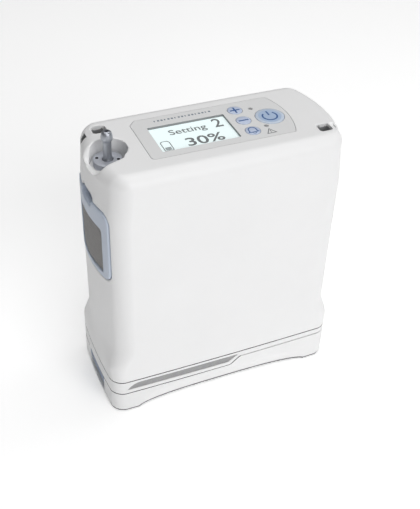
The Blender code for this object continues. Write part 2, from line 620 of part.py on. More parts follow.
# =======================================================================
# compressor
# =======================================================================
CX, CY, CZ = -12.0, -4.0, 52.0
crankcase = finish(box_bm(CX - 18, CX + 18, CY - 15, CY + 15, CZ - 18, CZ + 18, bevel=2.0, segs=1), "crankcase", "metal")
cut(crankcase, cyl_bm("Y", 14.5, CX, CZ, CY - 20, CY + 12, n=24))
cut(crankcase, cyl_bm("Y", 3.0, CX, CZ, CY, CY + 20, n=14))
motor = finish(cyl_bm("Y", 17.0, CX, CZ, CY + 15.3, 30.6, n=28), "compressor_motor", "steel", smooth=40)
cut(motor, cyl_bm("Y", 3.0, CX, CZ, CY, 27, n=14))
resmooth(motor, 40)
rotor = finish(cyl_bm("Y", 12.0, CX, CZ, CY - 13, CY - 6, n=24), "crank_rotor", "steel", origin=(CX, CY, CZ), smooth=40)
cut(rotor, cyl_bm("Y", 2.4, CX, CZ, CY - 7, 26, n=14), "UNION")
cut(rotor, cyl_bm("Y", 2.2, CX + 6.5, CZ, CY - 20, CY, n=14))
resmooth(rotor, 40)
PY = CY - 4.0
pcyl = [(8.0, 99.0), (13.5, 99.0), (13.5, 90.0), (11.0, 89.0), (11.0, 70.3), (0.0, 70.3), (0.0, 99.0)]


def stepped(name, mat, axis, a, b, steps, n=24):
    """Coaxial cylinders (radius, start, end) joined into one solid."""
    ob = None
    for r, c0, c1 in steps:
        bm = cyl_bm(axis, r, a, b, c0, c1, n=n)
        if ob is None:
            ob = finish(bm, name, mat)
        else:
            cut(ob, bm, "UNION")
    return resmooth(ob, 40)


stepped("pressure_cylinder", "metal", "Z", CX, PY, ((11.0, CZ + 18.3, 90), (13.5, 89.5, 99)))
stepped("vacuum_cylinder", "metal", "X", PY, CZ, ((11.0, -49, CX - 18.3), (13.5, -57.5, -48.5)))
for k, (sx, sy) in enumerate(((-1, -1), (1, -1), (-1, 1), (1, 1)), 1):
    finish(cyl_bm("Z", 4.5, CX + 12 * sx, CY + 9.5 * sy, 23.1, CZ - 18.3, n=16), "vibration_mount_%d" % k, "rubber", smooth=40)

# =======================================================================
# sieve columns, manifold, tank, sensor, boards, fan, jack, hoses
# =======================================================================
for k, y in (("a", -15.3), ("b", 15.3)):
    finish(cyl_bm("Z", 13.5, 46.5, y, 40.0, 146.0, n=28), "sieve_column_" + k, "metal", smooth=40)
finish(box_bm(32.6, 60.0, -29.2, 29.2, 27, 39.7, bevel=2.0, segs=1), "column_base", "black")
finish(box_bm(32.6, 60.0, -29.2, 29.2, 146.3, 154.5, bevel=2.0, segs=1), "column_cap", "black")
finish(box_bm(-24, 22, -13, 14, 134, 144, bevel=0.8, segs=1), "valve_manifold", "metal")
for k, x in (("a", -12), ("b", 10)):
    finish(box_bm(x - 8, x + 8, -7, 7, 144.3, 157, bevel=0.8, segs=1), "solenoid_valve_" + k, "black")
finish(cyl_bm("Z", 11.0, 10, 17, 74, 130, n=24), "product_tank", "black", smooth=40)
finish(box_bm(-42.6, -28.6, 8, 20, 141, 150, bevel=0.6, segs=1), "oxygen_sensor", "black")
finish(cyl_bm("Z", 7.5, 54, 12, 157, 161.4, n=20), "speaker", "black", smooth=40)
finish(box_bm(-48, 28, -30.4, -28.8, 58, 140), "main_board", "board")

FAN_Z = 117.4
fan = finish(box_bm(-63.6, -53.2, -20, 20, FAN_Z - 20, FAN_Z + 20, bevel=1.5, segs=1), "fan_frame", "black")
cut(fan, cyl_bm("X", 18.6, 0, FAN_Z, -70, -55.4, n=28))
for a in (30, 150, 270):
    bm = prism_bm([(9.5 * math.cos(math.radians(a - 38)), FAN_Z + 9.5 * math.sin(math.radians(a - 38))),
                   (18.0 * math.cos(math.radians(a - 46)), FAN_Z + 18.0 * math.sin(math.radians(a - 46))),
                   (18.4 * math.cos(math.radians(a - 15)), FAN_Z + 18.4 * math.sin(math.radians(a - 15))),
                   (18.4 * math.cos(math.radians(a + 15)), FAN_Z + 18.4 * math.sin(math.radians(a + 15))),
                   (18.0 * math.cos(math.radians(a + 46)), FAN_Z + 18.0 * math.sin(math.radians(a + 46))),
                   (9.5 * math.cos(math.radians(a + 38)), FAN_Z + 9.5 * math.sin(math.radians(a + 38)))], "X", -60, -50)
    cut(fan, bm)
clean(fan)
imp = finish(cyl_bm("X", 8.5, 0, FAN_Z, -62.6, -55.8, n=20), "fan_rotor", "black", origin=(-59, 0, FAN_Z), smooth=40)
for i in range(7):
    a = 2 * math.pi * i / 7
    bm = bmesh.new()
    bmesh.ops.create_cube(bm, size=1.0)
    bmesh.ops.scale(bm, vec=(6.0, 10.4, 0.9), verts=bm.verts)
    rot = Matrix.Rotation(a, 4, "X") @ Matrix.Translation((0, 12.6, 0)) @ Matrix.Rotation(math.radians(38), 4, "Y")
    bmesh.ops.transform(bm, matrix=Matrix.Translation((-59.2, 0, FAN_Z)) @ rot, verts=bm.verts)
    cut(imp, bm, "UNION")
resmooth(imp, 40)

jack = finish(cyl_bm("X", 5.0, JACK_Y, JACK_Z, 61.5, 72.6, n=20), "dc_power_inlet", "black", origin=(67, JACK_Y, JACK_Z), smooth=40)
cut(jack, cyl_bm("X", 3.3, JACK_Y, JACK_Z, 64.0, 80, n=16))
cut(jack, cyl_bm("X", 1.0, JACK_Y, JACK_Z, 63.0, 71.0, n=8), "UNION")
resmooth(jack, 40)

tube("intake_hose", "tube", [(-40, -8, 132), (-40, -8, 112), (-38.6, -8, 101), (-33.5, -8, 95.2), (-26.0, -8, 94.6)], 3.0)
tube("product_hose", "tube", [(NOZZLE_X, NOZZLE_Y, 153.2), (NOZZLE_X, NOZZLE_Y, 148.5), (-57.5, 3, 144.2), (-52.0, 8, 143.4), (-47.0, 13.2, 145.0), (-43.3, 13.5, 145.2)], 2.2)

for ob in list(cutters.objects):
    ob.hide_render = True
    ob.display_type = "WIRE"
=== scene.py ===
# Looks for the portable oxygen concentrator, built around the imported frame.
# Shapes are worked out in millimetres in the row frame and scaled to metres
# when a mesh is made.
import bpy
import bmesh
import json
import math
import numpy as np
from mathutils import Vector, Matrix


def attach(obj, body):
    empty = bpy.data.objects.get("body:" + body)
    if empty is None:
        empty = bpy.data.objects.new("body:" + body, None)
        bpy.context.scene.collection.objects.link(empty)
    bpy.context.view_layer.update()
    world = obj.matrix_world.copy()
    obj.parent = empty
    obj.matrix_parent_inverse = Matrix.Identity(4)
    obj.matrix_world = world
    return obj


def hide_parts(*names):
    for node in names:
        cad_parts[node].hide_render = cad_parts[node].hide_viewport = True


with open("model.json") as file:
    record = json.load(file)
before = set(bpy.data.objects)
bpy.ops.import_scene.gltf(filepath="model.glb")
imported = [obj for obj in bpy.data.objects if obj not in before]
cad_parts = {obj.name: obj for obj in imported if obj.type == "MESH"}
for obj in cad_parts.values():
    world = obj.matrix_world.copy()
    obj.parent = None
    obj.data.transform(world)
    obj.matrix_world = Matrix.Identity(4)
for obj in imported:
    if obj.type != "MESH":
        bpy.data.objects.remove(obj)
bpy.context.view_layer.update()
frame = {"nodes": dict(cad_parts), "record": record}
MM = 0.001
NODES = frame["nodes"]
BODY_OF = {n: b for b, ns in frame["record"]["behaviour"]["bodies"].items() for n in ns}


# =======================================================================
# camera first: the viewing angle
# =======================================================================
def make_camera():
    az, el, roll, dist = (math.radians(-24.61), math.radians(39.24), math.radians(2.42), 0.52839)
    back = Vector((math.sin(az) * math.cos(el), -math.cos(az) * math.cos(el), math.sin(el)))
    right = Vector((0, 0, 1)).cross(back).normalized()
    up = back.cross(right)
    r2 = right * math.cos(roll) + up * math.sin(roll)
    u2 = -right * math.sin(roll) + up * math.cos(roll)
    loc = Vector((0.00162, 0, 0.08055)) + back * dist
    cam = bpy.data.cameras.new("camera")
    ob = bpy.data.objects.new("camera", cam)
    bpy.context.scene.collection.objects.link(ob)
    m = Matrix((r2, u2, back)).transposed().to_4x4()
    m.translation = loc
    ob.matrix_world = m
    cam.sensor_width = 36.0
    cam.sensor_fit = "AUTO"
    cam.lens = 36.0 * 854.92 / 509.0
    cam.clip_start, cam.clip_end = 0.02, 20
    bpy.context.scene.camera = ob
    return ob


make_camera()

# =======================================================================
# materials
# =======================================================================
_mats = {}


def base_nodes(name):
    m = bpy.data.materials.new(name)
    m.use_nodes = True
    nt = m.node_tree
    bsdf = nt.nodes["Principled BSDF"]
    tc = nt.nodes.new("ShaderNodeTexCoord")
    return m, nt, bsdf, tc


def noise(nt, tc, scale, detail=4.0, rough=0.55, stretch=None):
    n = nt.nodes.new("ShaderNodeTexNoise")
    n.inputs["Scale"].default_value = scale
    n.inputs["Detail"].default_value = detail
    n.inputs["Roughness"].default_value = rough
    src = tc.outputs["Object"]
    if stretch:
        mp = nt.nodes.new("ShaderNodeMapping")
        mp.inputs["Scale"].default_value = stretch
        nt.links.new(src, mp.inputs["Vector"])
        src = mp.outputs["Vector"]
    nt.links.new(src, n.inputs["Vector"])
    return n.outputs["Fac"]


def ramp(nt, fac, stops):
    r = nt.nodes.new("ShaderNodeValToRGB")
    cr = r.color_ramp
    while len(cr.elements) < len(stops):
        cr.elements.new(0.5)
    for e, (p, c) in zip(cr.elements, stops):
        e.position = p
        e.color = (*c, 1.0)
    nt.links.new(fac, r.inputs["Fac"])
    return r.outputs["Color"]


def to_range(nt, fac, lo, hi, a=0.3, b=0.7):
    r = nt.nodes.new("ShaderNodeMapRange")
    r.inputs["From Min"].default_value = a
    r.inputs["From Max"].default_value = b
    r.inputs["To Min"].default_value = lo
    r.inputs["To Max"].default_value = hi
    nt.links.new(fac, r.inputs["Value"])
    return r.outputs["Result"]


def bump(nt, height, bsdf, strength, dist):
    b = nt.nodes.new("ShaderNodeBump")
    b.inputs["Strength"].default_value = strength
    b.inputs["Distance"].default_value = dist
    nt.links.new(height, b.inputs["Height"])
    nt.links.new(b.outputs["Normal"], bsdf.inputs["Normal"])
    return b


def math_node(nt, op, a, b=None):
    n = nt.nodes.new("ShaderNodeMath")
    n.operation = op
    for i, v in enumerate((a, b)):
        if v is None:
            continue
        if isinstance(v, (int, float)):
            n.inputs[i].default_value = v
        else:
            nt.links.new(v, n.inputs[i])
    return n.outputs[0]


def scaled(c, k):
    return tuple(min(1.0, x * k) for x in c)


def plastic(name, rgb, rough=(0.36, 0.46), var=0.02, grain=2600.0, bump_s=0.22, dist=0.00002, spec=0.5, coat=0.0,
            speck=0.0, emit=None):
    """Moulded plastic: faint cloudy tone, fine spark-eroded grain, slight gloss changes."""
    if name in _mats:
        return _mats[name]
    m, nt, b, tc = base_nodes(name)
    cloud = noise(nt, tc, 22.0, 3.0)
    col = ramp(nt, cloud, [(0.30, scaled(rgb, 1 - var)), (0.70, scaled(rgb, 1 + var))])
    if speck:
        fine = noise(nt, tc, grain * 0.6, 2.0)
        mx = nt.nodes.new("ShaderNodeMix")
        mx.data_type = "RGBA"
        mx.blend_type = "MULTIPLY"
        mx.inputs[0].default_value = speck
        nt.links.new(col, mx.inputs[6])
        nt.links.new(ramp(nt, fine, [(0.35, (0.82, 0.82, 0.82)), (0.6, (1, 1, 1))]), mx.inputs[7])
        col = mx.outputs[2]
    nt.links.new(col, b.inputs["Base Color"])
    nt.links.new(to_range(nt, noise(nt, tc, 70.0, 5.0), *rough), b.inputs["Roughness"])
    bump(nt, noise(nt, tc, grain, 5.0, 0.6), b, bump_s, dist)
    b.inputs["Specular IOR Level"].default_value = spec
    b.inputs["Coat Weight"].default_value = coat
    b.inputs["Coat Roughness"].default_value = 0.12
    if emit:
        b.inputs["Emission Color"].default_value = (*rgb, 1.0)
        b.inputs["Emission Strength"].default_value = emit
    _mats[name] = m
    return m


def metal(name, rgb, rough=(0.28, 0.42), stretch=(1, 1, 14), grain=900.0, metallic=1.0, bump_s=0.25, dist=0.00002, var=0.08):
    """Machined or brushed metal: fine directional lines over a slow tone change."""
    if name in _mats:
        return _mats[name]
    m, nt, b, tc = base_nodes(name)
    lines = noise(nt, tc, grain, 4.0, 0.6, stretch)
    col = ramp(nt, lines, [(0.3, scaled(rgb, 1 - var)), (0.7, scaled(rgb, 1 + var))])
    nt.links.new(col, b.inputs["Base Color"])
    nt.links.new(to_range(nt, noise(nt, tc, 160.0, 4.0), *rough), b.inputs["Roughness"])
    bump(nt, lines, b, bump_s, dist)
    b.inputs["Metallic"].default_value = metallic
    _mats[name] = m
    return m


def woven(name, light, dark, pitch, axes=("Y", "Z"), bump_s=0.8):
    """Plain-weave screen: two crossing sets of threads with dark holes."""
    if name in _mats:
        return _mats[name]
    m, nt, b, tc = base_nodes(name)
    sep = nt.nodes.new("ShaderNodeSeparateXYZ")
    nt.links.new(tc.outputs["Object"], sep.inputs[0])
    k = 2 * math.pi / pitch
    s1 = math_node(nt, "SINE", math_node(nt, "MULTIPLY", sep.outputs[axes[0]], k))
    s2 = math_node(nt, "SINE", math_node(nt, "MULTIPLY", sep.outputs[axes[1]], k))
    a1 = math_node(nt, "ABSOLUTE", s1)
    a2 = math_node(nt, "ABSOLUTE", s2)
    thread = math_node(nt, "MAXIMUM", a1, a2)
    over = math_node(nt, "MULTIPLY", s1, s2)
    height = math_node(nt, "ADD", thread, math_node(nt, "MULTIPLY", over, 0.25))
    dust = noise(nt, tc, 260.0, 4.0)
    tone = math_node(nt, "ADD", height, math_node(nt, "MULTIPLY", dust, 0.30))
    col = ramp(nt, tone, [(0.45, dark), (0.95, light)])
    nt.links.new(col, b.inputs["Base Color"])
    b.inputs["Roughness"].default_value = 0.75
    bump(nt, height, b, bump_s, pitch * 0.25)
    _mats[name] = m
    return m


def board(name):
    """Printed board: solder mask with straight copper tracks and tinned pads."""
    m, nt, b, tc = base_nodes(name)
    sep = nt.nodes.new("ShaderNodeSeparateXYZ")
    nt.links.new(tc.outputs["Object"], sep.inputs[0])
    br = nt.nodes.new("ShaderNodeTexBrick")
    comb = nt.nodes.new("ShaderNodeCombineXYZ")
    nt.links.new(sep.outputs["X"], comb.inputs["X"])
    nt.links.new(math_node(nt, "ADD", sep.outputs["Y"], sep.outputs["Z"]), comb.inputs["Y"])
    nt.links.new(comb.outputs[0], br.inputs["Vector"])
    br.inputs["Scale"].default_value = 160.0
    br.inputs["Mortar Size"].default_value = 0.035
    br.inputs["Color1"].default_value = (0.015, 0.11, 0.045, 1)
    br.inputs["Color2"].default_value = (0.02, 0.15, 0.06, 1)
    br.inputs["Mortar"].default_value = (0.06, 0.30, 0.13, 1)
    vo = nt.nodes.new("ShaderNodeTexVoronoi")
    vo.inputs["Scale"].default_value = 420.0
    nt.links.new(tc.outputs["Object"], vo.inputs["Vector"])
    mx = nt.nodes.new("ShaderNodeMix")
    mx.data_type = "RGBA"
    nt.links.new(to_range(nt, vo.outputs["Distance"], 1.0, 0.0, 0.10, 0.16), mx.inputs[0])
    nt.links.new(br.outputs["Color"], mx.inputs[6])
    mx.inputs[7].default_value = (0.62, 0.60, 0.52, 1)
    nt.links.new(mx.outputs[2], b.inputs["Base Color"])
    nt.links.new(to_range(nt, noise(nt, tc, 300.0), 0.28, 0.42), b.inputs["Roughness"])
    bump(nt, br.outputs["Fac"], b, 0.3, 0.00003)
    return m


WHITE = (0.83, 0.83, 0.832)
M_WHITE = plastic("white_shell", WHITE, rough=(0.40, 0.50), var=0.012, grain=3000.0, bump_s=0.16, dist=0.000018)
M_WHITE_FOOT = plastic("white_shell_foot", scaled(WHITE, 0.985), rough=(0.42, 0.52), var=0.015, grain=2600.0, bump_s=0.2, dist=0.00002)
M_SEAM = plastic("seam_shadow", (0.045, 0.045, 0.05), rough=(0.7, 0.85), var=0.1)
# painted shade: dark grey for the inner faces of the white strap eyes, standing in for the shade deep in the slots
M_EYE_SHADE = plastic("strap_eye_painted_shade", (0.26, 0.265, 0.27), rough=(0.5, 0.65), var=0.06)
M_PANEL = plastic("panel_film", (0.745, 0.748, 0.750), rough=(0.34, 0.44), var=0.012, grain=3400.0, bump_s=0.12, dist=0.000012)
# painted shade: dark grey for the walls of the recessed display window, which lie in shade
M_WINDOW_SHADE = plastic("display_rim_painted_shade", (0.25, 0.26, 0.265), rough=(0.4, 0.55), var=0.08)
M_PRINT_GREY = plastic("print_grey", (0.16, 0.17, 0.18), rough=(0.45, 0.6), var=0.08)
M_PRINT_SLATE = plastic("print_slate", (0.20, 0.24, 0.28), rough=(0.45, 0.6), var=0.08)
M_LCD_INK = plastic("lcd_ink", (0.20, 0.21, 0.215), rough=(0.25, 0.4), var=0.06)
M_BTN = plastic("button_blue", (0.53, 0.60, 0.755), rough=(0.36, 0.48), var=0.03, grain=3400.0, bump_s=0.14)
M_BTN_RING = plastic("button_ring", (0.56, 0.635, 0.745), rough=(0.36, 0.48), var=0.03, grain=3400.0, bump_s=0.14)
M_BTN_FACE = plastic("button_face", (0.42, 0.53, 0.70), rough=(0.36, 0.48), var=0.03, grain=3400.0, bump_s=0.14)
M_ICON = plastic("icon_blue", (0.045, 0.12, 0.31), rough=(0.45, 0.6), var=0.06)
M_FRAME = plastic("filter_blue", (0.50, 0.56, 0.66), rough=(0.34, 0.46), var=0.03, grain=2400.0, bump_s=0.2)
M_LATCH = plastic("latch_blue", (0.17, 0.23, 0.35), rough=(0.34, 0.46), var=0.05, grain=2000.0, bump_s=0.25)
M_MESH = woven("filter_screen", (0.34, 0.33, 0.325), (0.10, 0.10, 0.10), 0.0011)
M_GRILLE = woven("grille_screen", (0.42, 0.42, 0.425), (0.16, 0.16, 0.16), 0.0013, ("X", "Z"))
M_GREY = plastic("grille_fin", (0.30, 0.30, 0.305), rough=(0.5, 0.65), var=0.06)
M_NOZZLE = metal("outlet_metal", (0.40, 0.42, 0.46), rough=(0.30, 0.42), stretch=(1, 1, 9), metallic=0.75)
M_DISC = metal("outlet_disc", (0.50, 0.52, 0.57), rough=(0.36, 0.48), stretch=(6, 1, 1), metallic=0.55)
M_BOTTOM_STRIP = plastic("bottom_strip_dark", (0.10, 0.10, 0.105), rough=(0.65, 0.8), var=0.1, grain=1400.0, bump_s=0.35)
# painted shade: near black for the inside of the two blind holes in the metal outlet disc
M_BORE_SHADE = plastic("bore_painted_shade", (0.02, 0.02, 0.022), rough=(0.6, 0.8), var=0.1)
M_LED = plastic("lamp_grey", (0.33, 0.335, 0.34), rough=(0.18, 0.3), var=0.06, coat=0.5)
M_BASE = plastic("base_grey", (0.60, 0.60, 0.61), rough=(0.5, 0.62), var=0.03, grain=1600.0, bump_s=0.3)
M_CAST = metal("cast_metal", (0.62, 0.63, 0.65), rough=(0.35, 0.5), stretch=(1, 1, 1), grain=700.0, bump_s=0.4)
M_STEEL = metal("plated_steel", (0.55, 0.56, 0.58), rough=(0.22, 0.36), stretch=(1, 8, 1))
M_BLACK = plastic("black_plastic", (0.028, 0.028, 0.031), rough=(0.42, 0.58), var=0.12, grain=1600.0, bump_s=0.35)
M_RUBBER = plastic("black_rubber", (0.02, 0.02, 0.021), rough=(0.7, 0.9), var=0.15, grain=1400.0, bump_s=0.4)
M_TUBE = plastic("clear_tube", (0.72, 0.76, 0.78), rough=(0.2, 0.32), var=0.04, coat=0.3)
M_CELL = plastic("cell_wrap", (0.04, 0.19, 0.40), rough=(0.26, 0.4), var=0.1, coat=0.3)
M_BRASS = metal("contact_brass", (0.78, 0.58, 0.27), rough=(0.2, 0.34), stretch=(1, 10, 1))
M_BOARD = board("circuit_board")


def lcd_material():
    """Lit reflective display: pale cyan with a faint square pixel grid."""
    m, nt, b, tc = base_nodes("lcd_face")
    sep = nt.nodes.new("ShaderNodeSeparateXYZ")
    nt.links.new(tc.outputs["Object"], sep.inputs[0])
    k = 2 * math.pi / 0.00045
    gx = math_node(nt, "SINE", math_node(nt, "MULTIPLY", sep.outputs["X"], k))
    gy = math_node(nt, "SINE", math_node(nt, "MULTIPLY", sep.outputs["Y"], k))
    g = math_node(nt, "MAXIMUM", gx, gy)
    col = ramp(nt, g, [(0.55, (0.86, 0.965, 0.965)), (1.0, (0.82, 0.935, 0.94))])
    nt.links.new(col, b.inputs["Base Color"])
    nt.links.new(to_range(nt, noise(nt, tc, 80.0), 0.10, 0.18), b.inputs["Roughness"])
    bump(nt, noise(nt, tc, 500.0), b, 0.05, 0.00001)
    b.inputs["Emission Color"].default_value = (0.88, 1.0, 1.0, 1)
    b.inputs["Emission Strength"].default_value = 0.22
    return m


M_LCD = lcd_material()


# =======================================================================
# distance fields in millimetres
# =======================================================================
def sm(t):
    t = np.clip(t, 0, 1)
    return t * t * (3 - 2 * t)


def rr2(x, y, a, b, r):
    qx = x - (a - r)
    qy = y - (b - r)
    return np.hypot(np.maximum(qx, 0), np.maximum(qy, 0)) + np.minimum(np.maximum(qx, qy), 0) - r


def rmax(a, b, k):
    """Intersection with the edge between both rounded to radius k."""
    return np.minimum(np.maximum(a, b), -k) + np.hypot(np.maximum(a + k, 0), np.maximum(b + k, 0))


def smin(a, b, k):
    h = np.clip(0.5 + 0.5 * (b - a) / k, 0, 1)
    return b * (1 - h) + a * h - k * h * (1 - h)


def boxd(x, y, z, x0, x1, y0, y1, z0, z1):
    return np.maximum(np.maximum(np.abs(x - (x0 + x1) / 2) - (x1 - x0) / 2, np.abs(y - (y0 + y1) / 2) - (y1 - y0) / 2),
                      np.abs(z - (z0 + z1) / 2) - (z1 - z0) / 2)


def cut_by(body, hole, k=0.0):
    return np.maximum(body, -hole) if not np.any(k) else rmax(body, -hole, k)


TOP = 171.0


def skin(x, y, z):
    """Outside of the whole body without its top and bottom limits."""
    f = sm((z - 33.0) / 17.0)
    t = sm((z - 138.0) / 25.0)
    a = 75.0 - 1.0 * f - 0.9 * t
    bow = 1.8 + 6.0 * f + 1.4 * t
    xw = np.abs(x) * (1 + bow * (y / 34.0) ** 2 / a)
    yw = np.abs(y) * (1 + 0.8 * (x / a) ** 2 / 34.0)
    return rr2(xw, yw, a, 34.0, 8.0 + f)


def outer(x, y, z):
    return rmax(skin(x, y, z), z - TOP, 8.0)


def f_upper(x, y, z):
    o = outer(x, y, z)
    cav = np.maximum(o + 2.0, z - 167.8)
    blocks = np.minimum(boxd(x, y, z, -80, -45.6, -20.5, 14.6, 157, 175), boxd(x, y, z, -80, -53, 13, 40, 156, 175))
    blocks = np.minimum(blocks, boxd(x, y, z, 53, 80, -40, -13, 156, 175))
    blocks = np.minimum(blocks, boxd(np.abs(x), y, z, 65, 80, -29.5, 29.5, 91, 153))
    post = np.maximum(np.hypot(np.abs(x) - 64.6, np.abs(y) - 26.8) - 4.2, z - 44)
    blocks = np.minimum(blocks, post)
    d = np.maximum(o, -np.maximum(cav, -blocks))
    # outlet pocket: round well opened to the left end by a shallow dish
    well = np.maximum(np.hypot(x + 60.0, y) - 10.4, 160.0 - z)
    trough = (np.hypot(y + 4.5, z - 174.5) - (12.5 + 0.33 * (-70.0 - x))) * 0.95
    trough = rmax(trough, x + 54.0, 2.0)
    lip = 161.6 + 2.6 * sm((-69.8 - x) / 3.6)
    trough = rmax(trough, (lip - z) * 0.8, 2.6)
    pocket = smin(well, trough, 1.0)
    d = rmax(d, -pocket, 0.45 + 0.5 * sm((-62.0 - x) / 8.0))
    d = cut_by(d, np.maximum(np.hypot(x + 60.3, y - 1.0) - 3.9, np.maximum(155.0 - z, z - 162)))
    # strap eyes
    for s in (-1, 1):
        u = s * x - 59.0
        v = s * y + 20.0
        shaft = np.maximum(rr2(np.abs(u), np.abs(v), 3.8, 3.6, 1.4), 159.2 - z)
        d = rmax(d, -shaft, 0.35)
        exit_ = np.maximum(rr2(np.abs(v), np.abs(z - 165.2), 3.3, 3.6, 1.0), 58.5 - s * x)
        d = rmax(d, -exit_, 0.4)
        groove = np.maximum(np.maximum(170.3 - 0.42 * (s * x - 63.6) - z, np.abs(v) - 3.3), 63.5 - s * x)
        d = rmax(d, -groove, 0.3)
    # filter recesses, air windows and finger notches
    ax = np.abs(x)
    rec = np.maximum(rr2(np.abs(y), np.abs(z - 122.5), 25.6, 22.9, 6.3), 67.3 - ax)
    d = rmax(d, -rec, 1.3)
    win = np.maximum(rr2(np.abs(y), np.abs(z - 118.9), 16.6, 12.9, 1.0), 60.0 - ax)
    d = cut_by(d, win)
    notch = np.maximum(rr2(np.abs(y), np.abs(z - 144.1), 9.0, 5.5, 2.5), 69.2 - ax)
    d = rmax(d, -notch, 0.7)
    # power inlet
    jack = np.maximum(np.hypot(y - 15.0, z - 58.0) - 5.3, 60.0 - x)
    d = rmax(d, -jack, 0.5)
    # screw holes in the posts
    hole = np.maximum(np.hypot(np.abs(x) - 64.6, np.abs(y) - 26.8) - 1.8, z - 39)
    return cut_by(d, hole)


def foot_skin(x, y, z):
    xw = np.abs(x) * (1 + 1.8 * (y / 34.0) ** 2 / 75.0)
    yw = np.abs(y) * (1 + 0.8 * (x / 75.0) ** 2 / 34.0)
    return rr2(xw, yw, 75.0, 34.0, 8.0)


def f_battery(x, y, z):
    o = rmax(foot_skin(x, y, z), 0.9 - z, 0.7)
    t = np.clip(np.abs(x) / 58.0, 0, 1)
    top = 12.9 * np.sqrt(np.clip(1 - t ** 3, 0, 1)) - 9.0 * np.clip(np.abs(x) / 58.0 - 1, 0, 1)
    scoop = (z - top + 2.48 * (34.0 - np.abs(y))) * 0.374
    d = rmax(o, -scoop, 1.3)
    bay = np.maximum(np.maximum(rr2(np.abs(y), np.abs(z - 16.2), 14.4, 13.8, 0.8), x + 68.6), 2.4 - z)
    d = rmax(d, -bay, 0.5)
    return d


def f_bottom_strip(x, y, z):
    """Thin dark strip under the rim of the case, following its outline."""
    t = np.clip(np.abs(x) / 58.0, 0, 1)
    top = 12.9 * np.sqrt(np.clip(1 - t ** 3, 0, 1)) - 9.0 * np.clip(np.abs(x) / 58.0 - 1, 0, 1)
    scoop = (0.9 - top + 2.48 * (34.0 - np.abs(y))) * 0.374
    d = np.maximum(foot_skin(x, y, z), -scoop) + 0.30
    return np.maximum(np.maximum(d, z - 1.0), -z)


# =======================================================================
# surface nets: turns a field into a closed mesh of quads
# =======================================================================
def nets(f, lo, hi, h):
    n = [int(math.ceil((b - a) / h)) + 1 for a, b in zip(lo, hi)]
    ax = [np.float32(lo[i]) + np.float32(h) * np.arange(n[i], dtype=np.float32) for i in range(3)]
    F = f(ax[0][:, None, None], ax[1][None, :, None], ax[2][None, None, :]).astype(np.float32)
    F = np.ascontiguousarray(np.broadcast_to(F, n))
    ins = F < 0
    cnt = np.zeros([k - 1 for k in n], np.int8)
    corners = [(i, j, k) for i in (0, 1) for j in (0, 1) for k in (0, 1)]
    for i, j, k in corners:
        cnt += ins[i:n[0] - 1 + i, j:n[1] - 1 + j, k:n[2] - 1 + k]
    act = (cnt > 0) & (cnt < 8)
    ijk = np.argwhere(act)
    idx = np.full(act.shape, -1, np.int32)
    idx[act] = np.arange(len(ijk), dtype=np.int32)
    I, J, K = ijk.T
    val = np.stack([F[I + i, J + j, K + k] for i, j, k in corners], 1)
    pos = np.zeros((len(ijk), 3), np.float32)
    num = np.zeros(len(ijk), np.float32)
    for a in range(8):
        for b in range(a + 1, 8):
            d = np.subtract(corners[b], corners[a])
            if np.abs(d).sum() != 1:
                continue
            va, vb = val[:, a], val[:, b]
            cross = (va < 0) != (vb < 0)
            t = np.where(cross, va / np.where(cross, va - vb, 1), 0)
            p = np.array(corners[a], np.float32)[None, :] + t[:, None] * d[None, :].astype(np.float32)
            pos += p * cross[:, None]
            num += cross
    P = (ijk + pos / num[:, None]) * h + np.array(lo)
    quads = []
    for axis in range(3):
        o1, o2 = [k for k in range(3) if k != axis]
        a = [slice(None)] * 3
        b = [slice(None)] * 3
        a[axis], b[axis] = slice(0, -1), slice(1, None)
        for o in (o1, o2):
            a[o] = b[o] = slice(1, -1)
        fa, fb = ins[tuple(a)], ins[tuple(b)]
        e = np.argwhere(fa != fb)
        flip = fa[tuple(e.T)]
        c = e.copy()
        c[:, o1] += 1
        c[:, o2] += 1
        q = []
        for d1, d2 in ((-1, -1), (0, -1), (0, 0), (-1, 0)):
            w = c.copy()
            w[:, o1] += d1
            w[:, o2] += d2
            q.append(idx[w[:, 0], w[:, 1], w[:, 2]])
        q = np.stack(q, 1)
        if axis == 1:
            flip = ~flip
        q[~flip] = q[~flip][:, ::-1]
        quads.append(q)
    return P, np.concatenate(quads)


def gradient(f, P, e=0.03):
    g = np.empty_like(P)
    x, y, z = P.T
    g[:, 0] = f(x + e, y, z) - f(x - e, y, z)
    g[:, 1] = f(x, y + e, z) - f(x, y - e, z)
    g[:, 2] = f(x, y, z + e) - f(x, y, z - e)
    return g / (2 * e)


def project(f, P, times=3, limit=0.25):
    P = P.astype(np.float64)
    for _ in range(times):
        v = f(P[:, 0], P[:, 1], P[:, 2])
        g = gradient(f, P)
        step = v / np.maximum((g * g).sum(1), 0.2)
        step = np.clip(step, -limit, limit)
        P = P - step[:, None] * g
    return P


def mesh_from(name, P, faces):
    me = bpy.data.meshes.new(name)
    me.vertices.add(len(P))
    me.vertices.foreach_set("co", (P * MM).astype(np.float32).ravel())
    k = faces.shape[1]
    me.loops.add(faces.size)
    me.loops.foreach_set("vertex_index", faces.astype(np.int32).ravel())
    me.polygons.add(len(faces))
    me.polygons.foreach_set("loop_start", np.arange(0, faces.size, k, dtype=np.int32))
    me.polygons.foreach_set("loop_total", np.full(len(faces), k, np.int32))
    me.update(calc_edges=True)
    me.validate()
    return me


def link(me, name):
    ob = bpy.data.objects.new(name, me)
    bpy.context.scene.collection.objects.link(ob)
    return ob


def bake_modifiers(ob):
    bpy.context.view_layer.update()
    dg = bpy.context.evaluated_depsgraph_get()
    me = bpy.data.meshes.new_from_object(ob.evaluated_get(dg))
    old = ob.data
    ob.modifiers.clear()
    ob.data = me
    bpy.data.meshes.remove(old)
    return ob


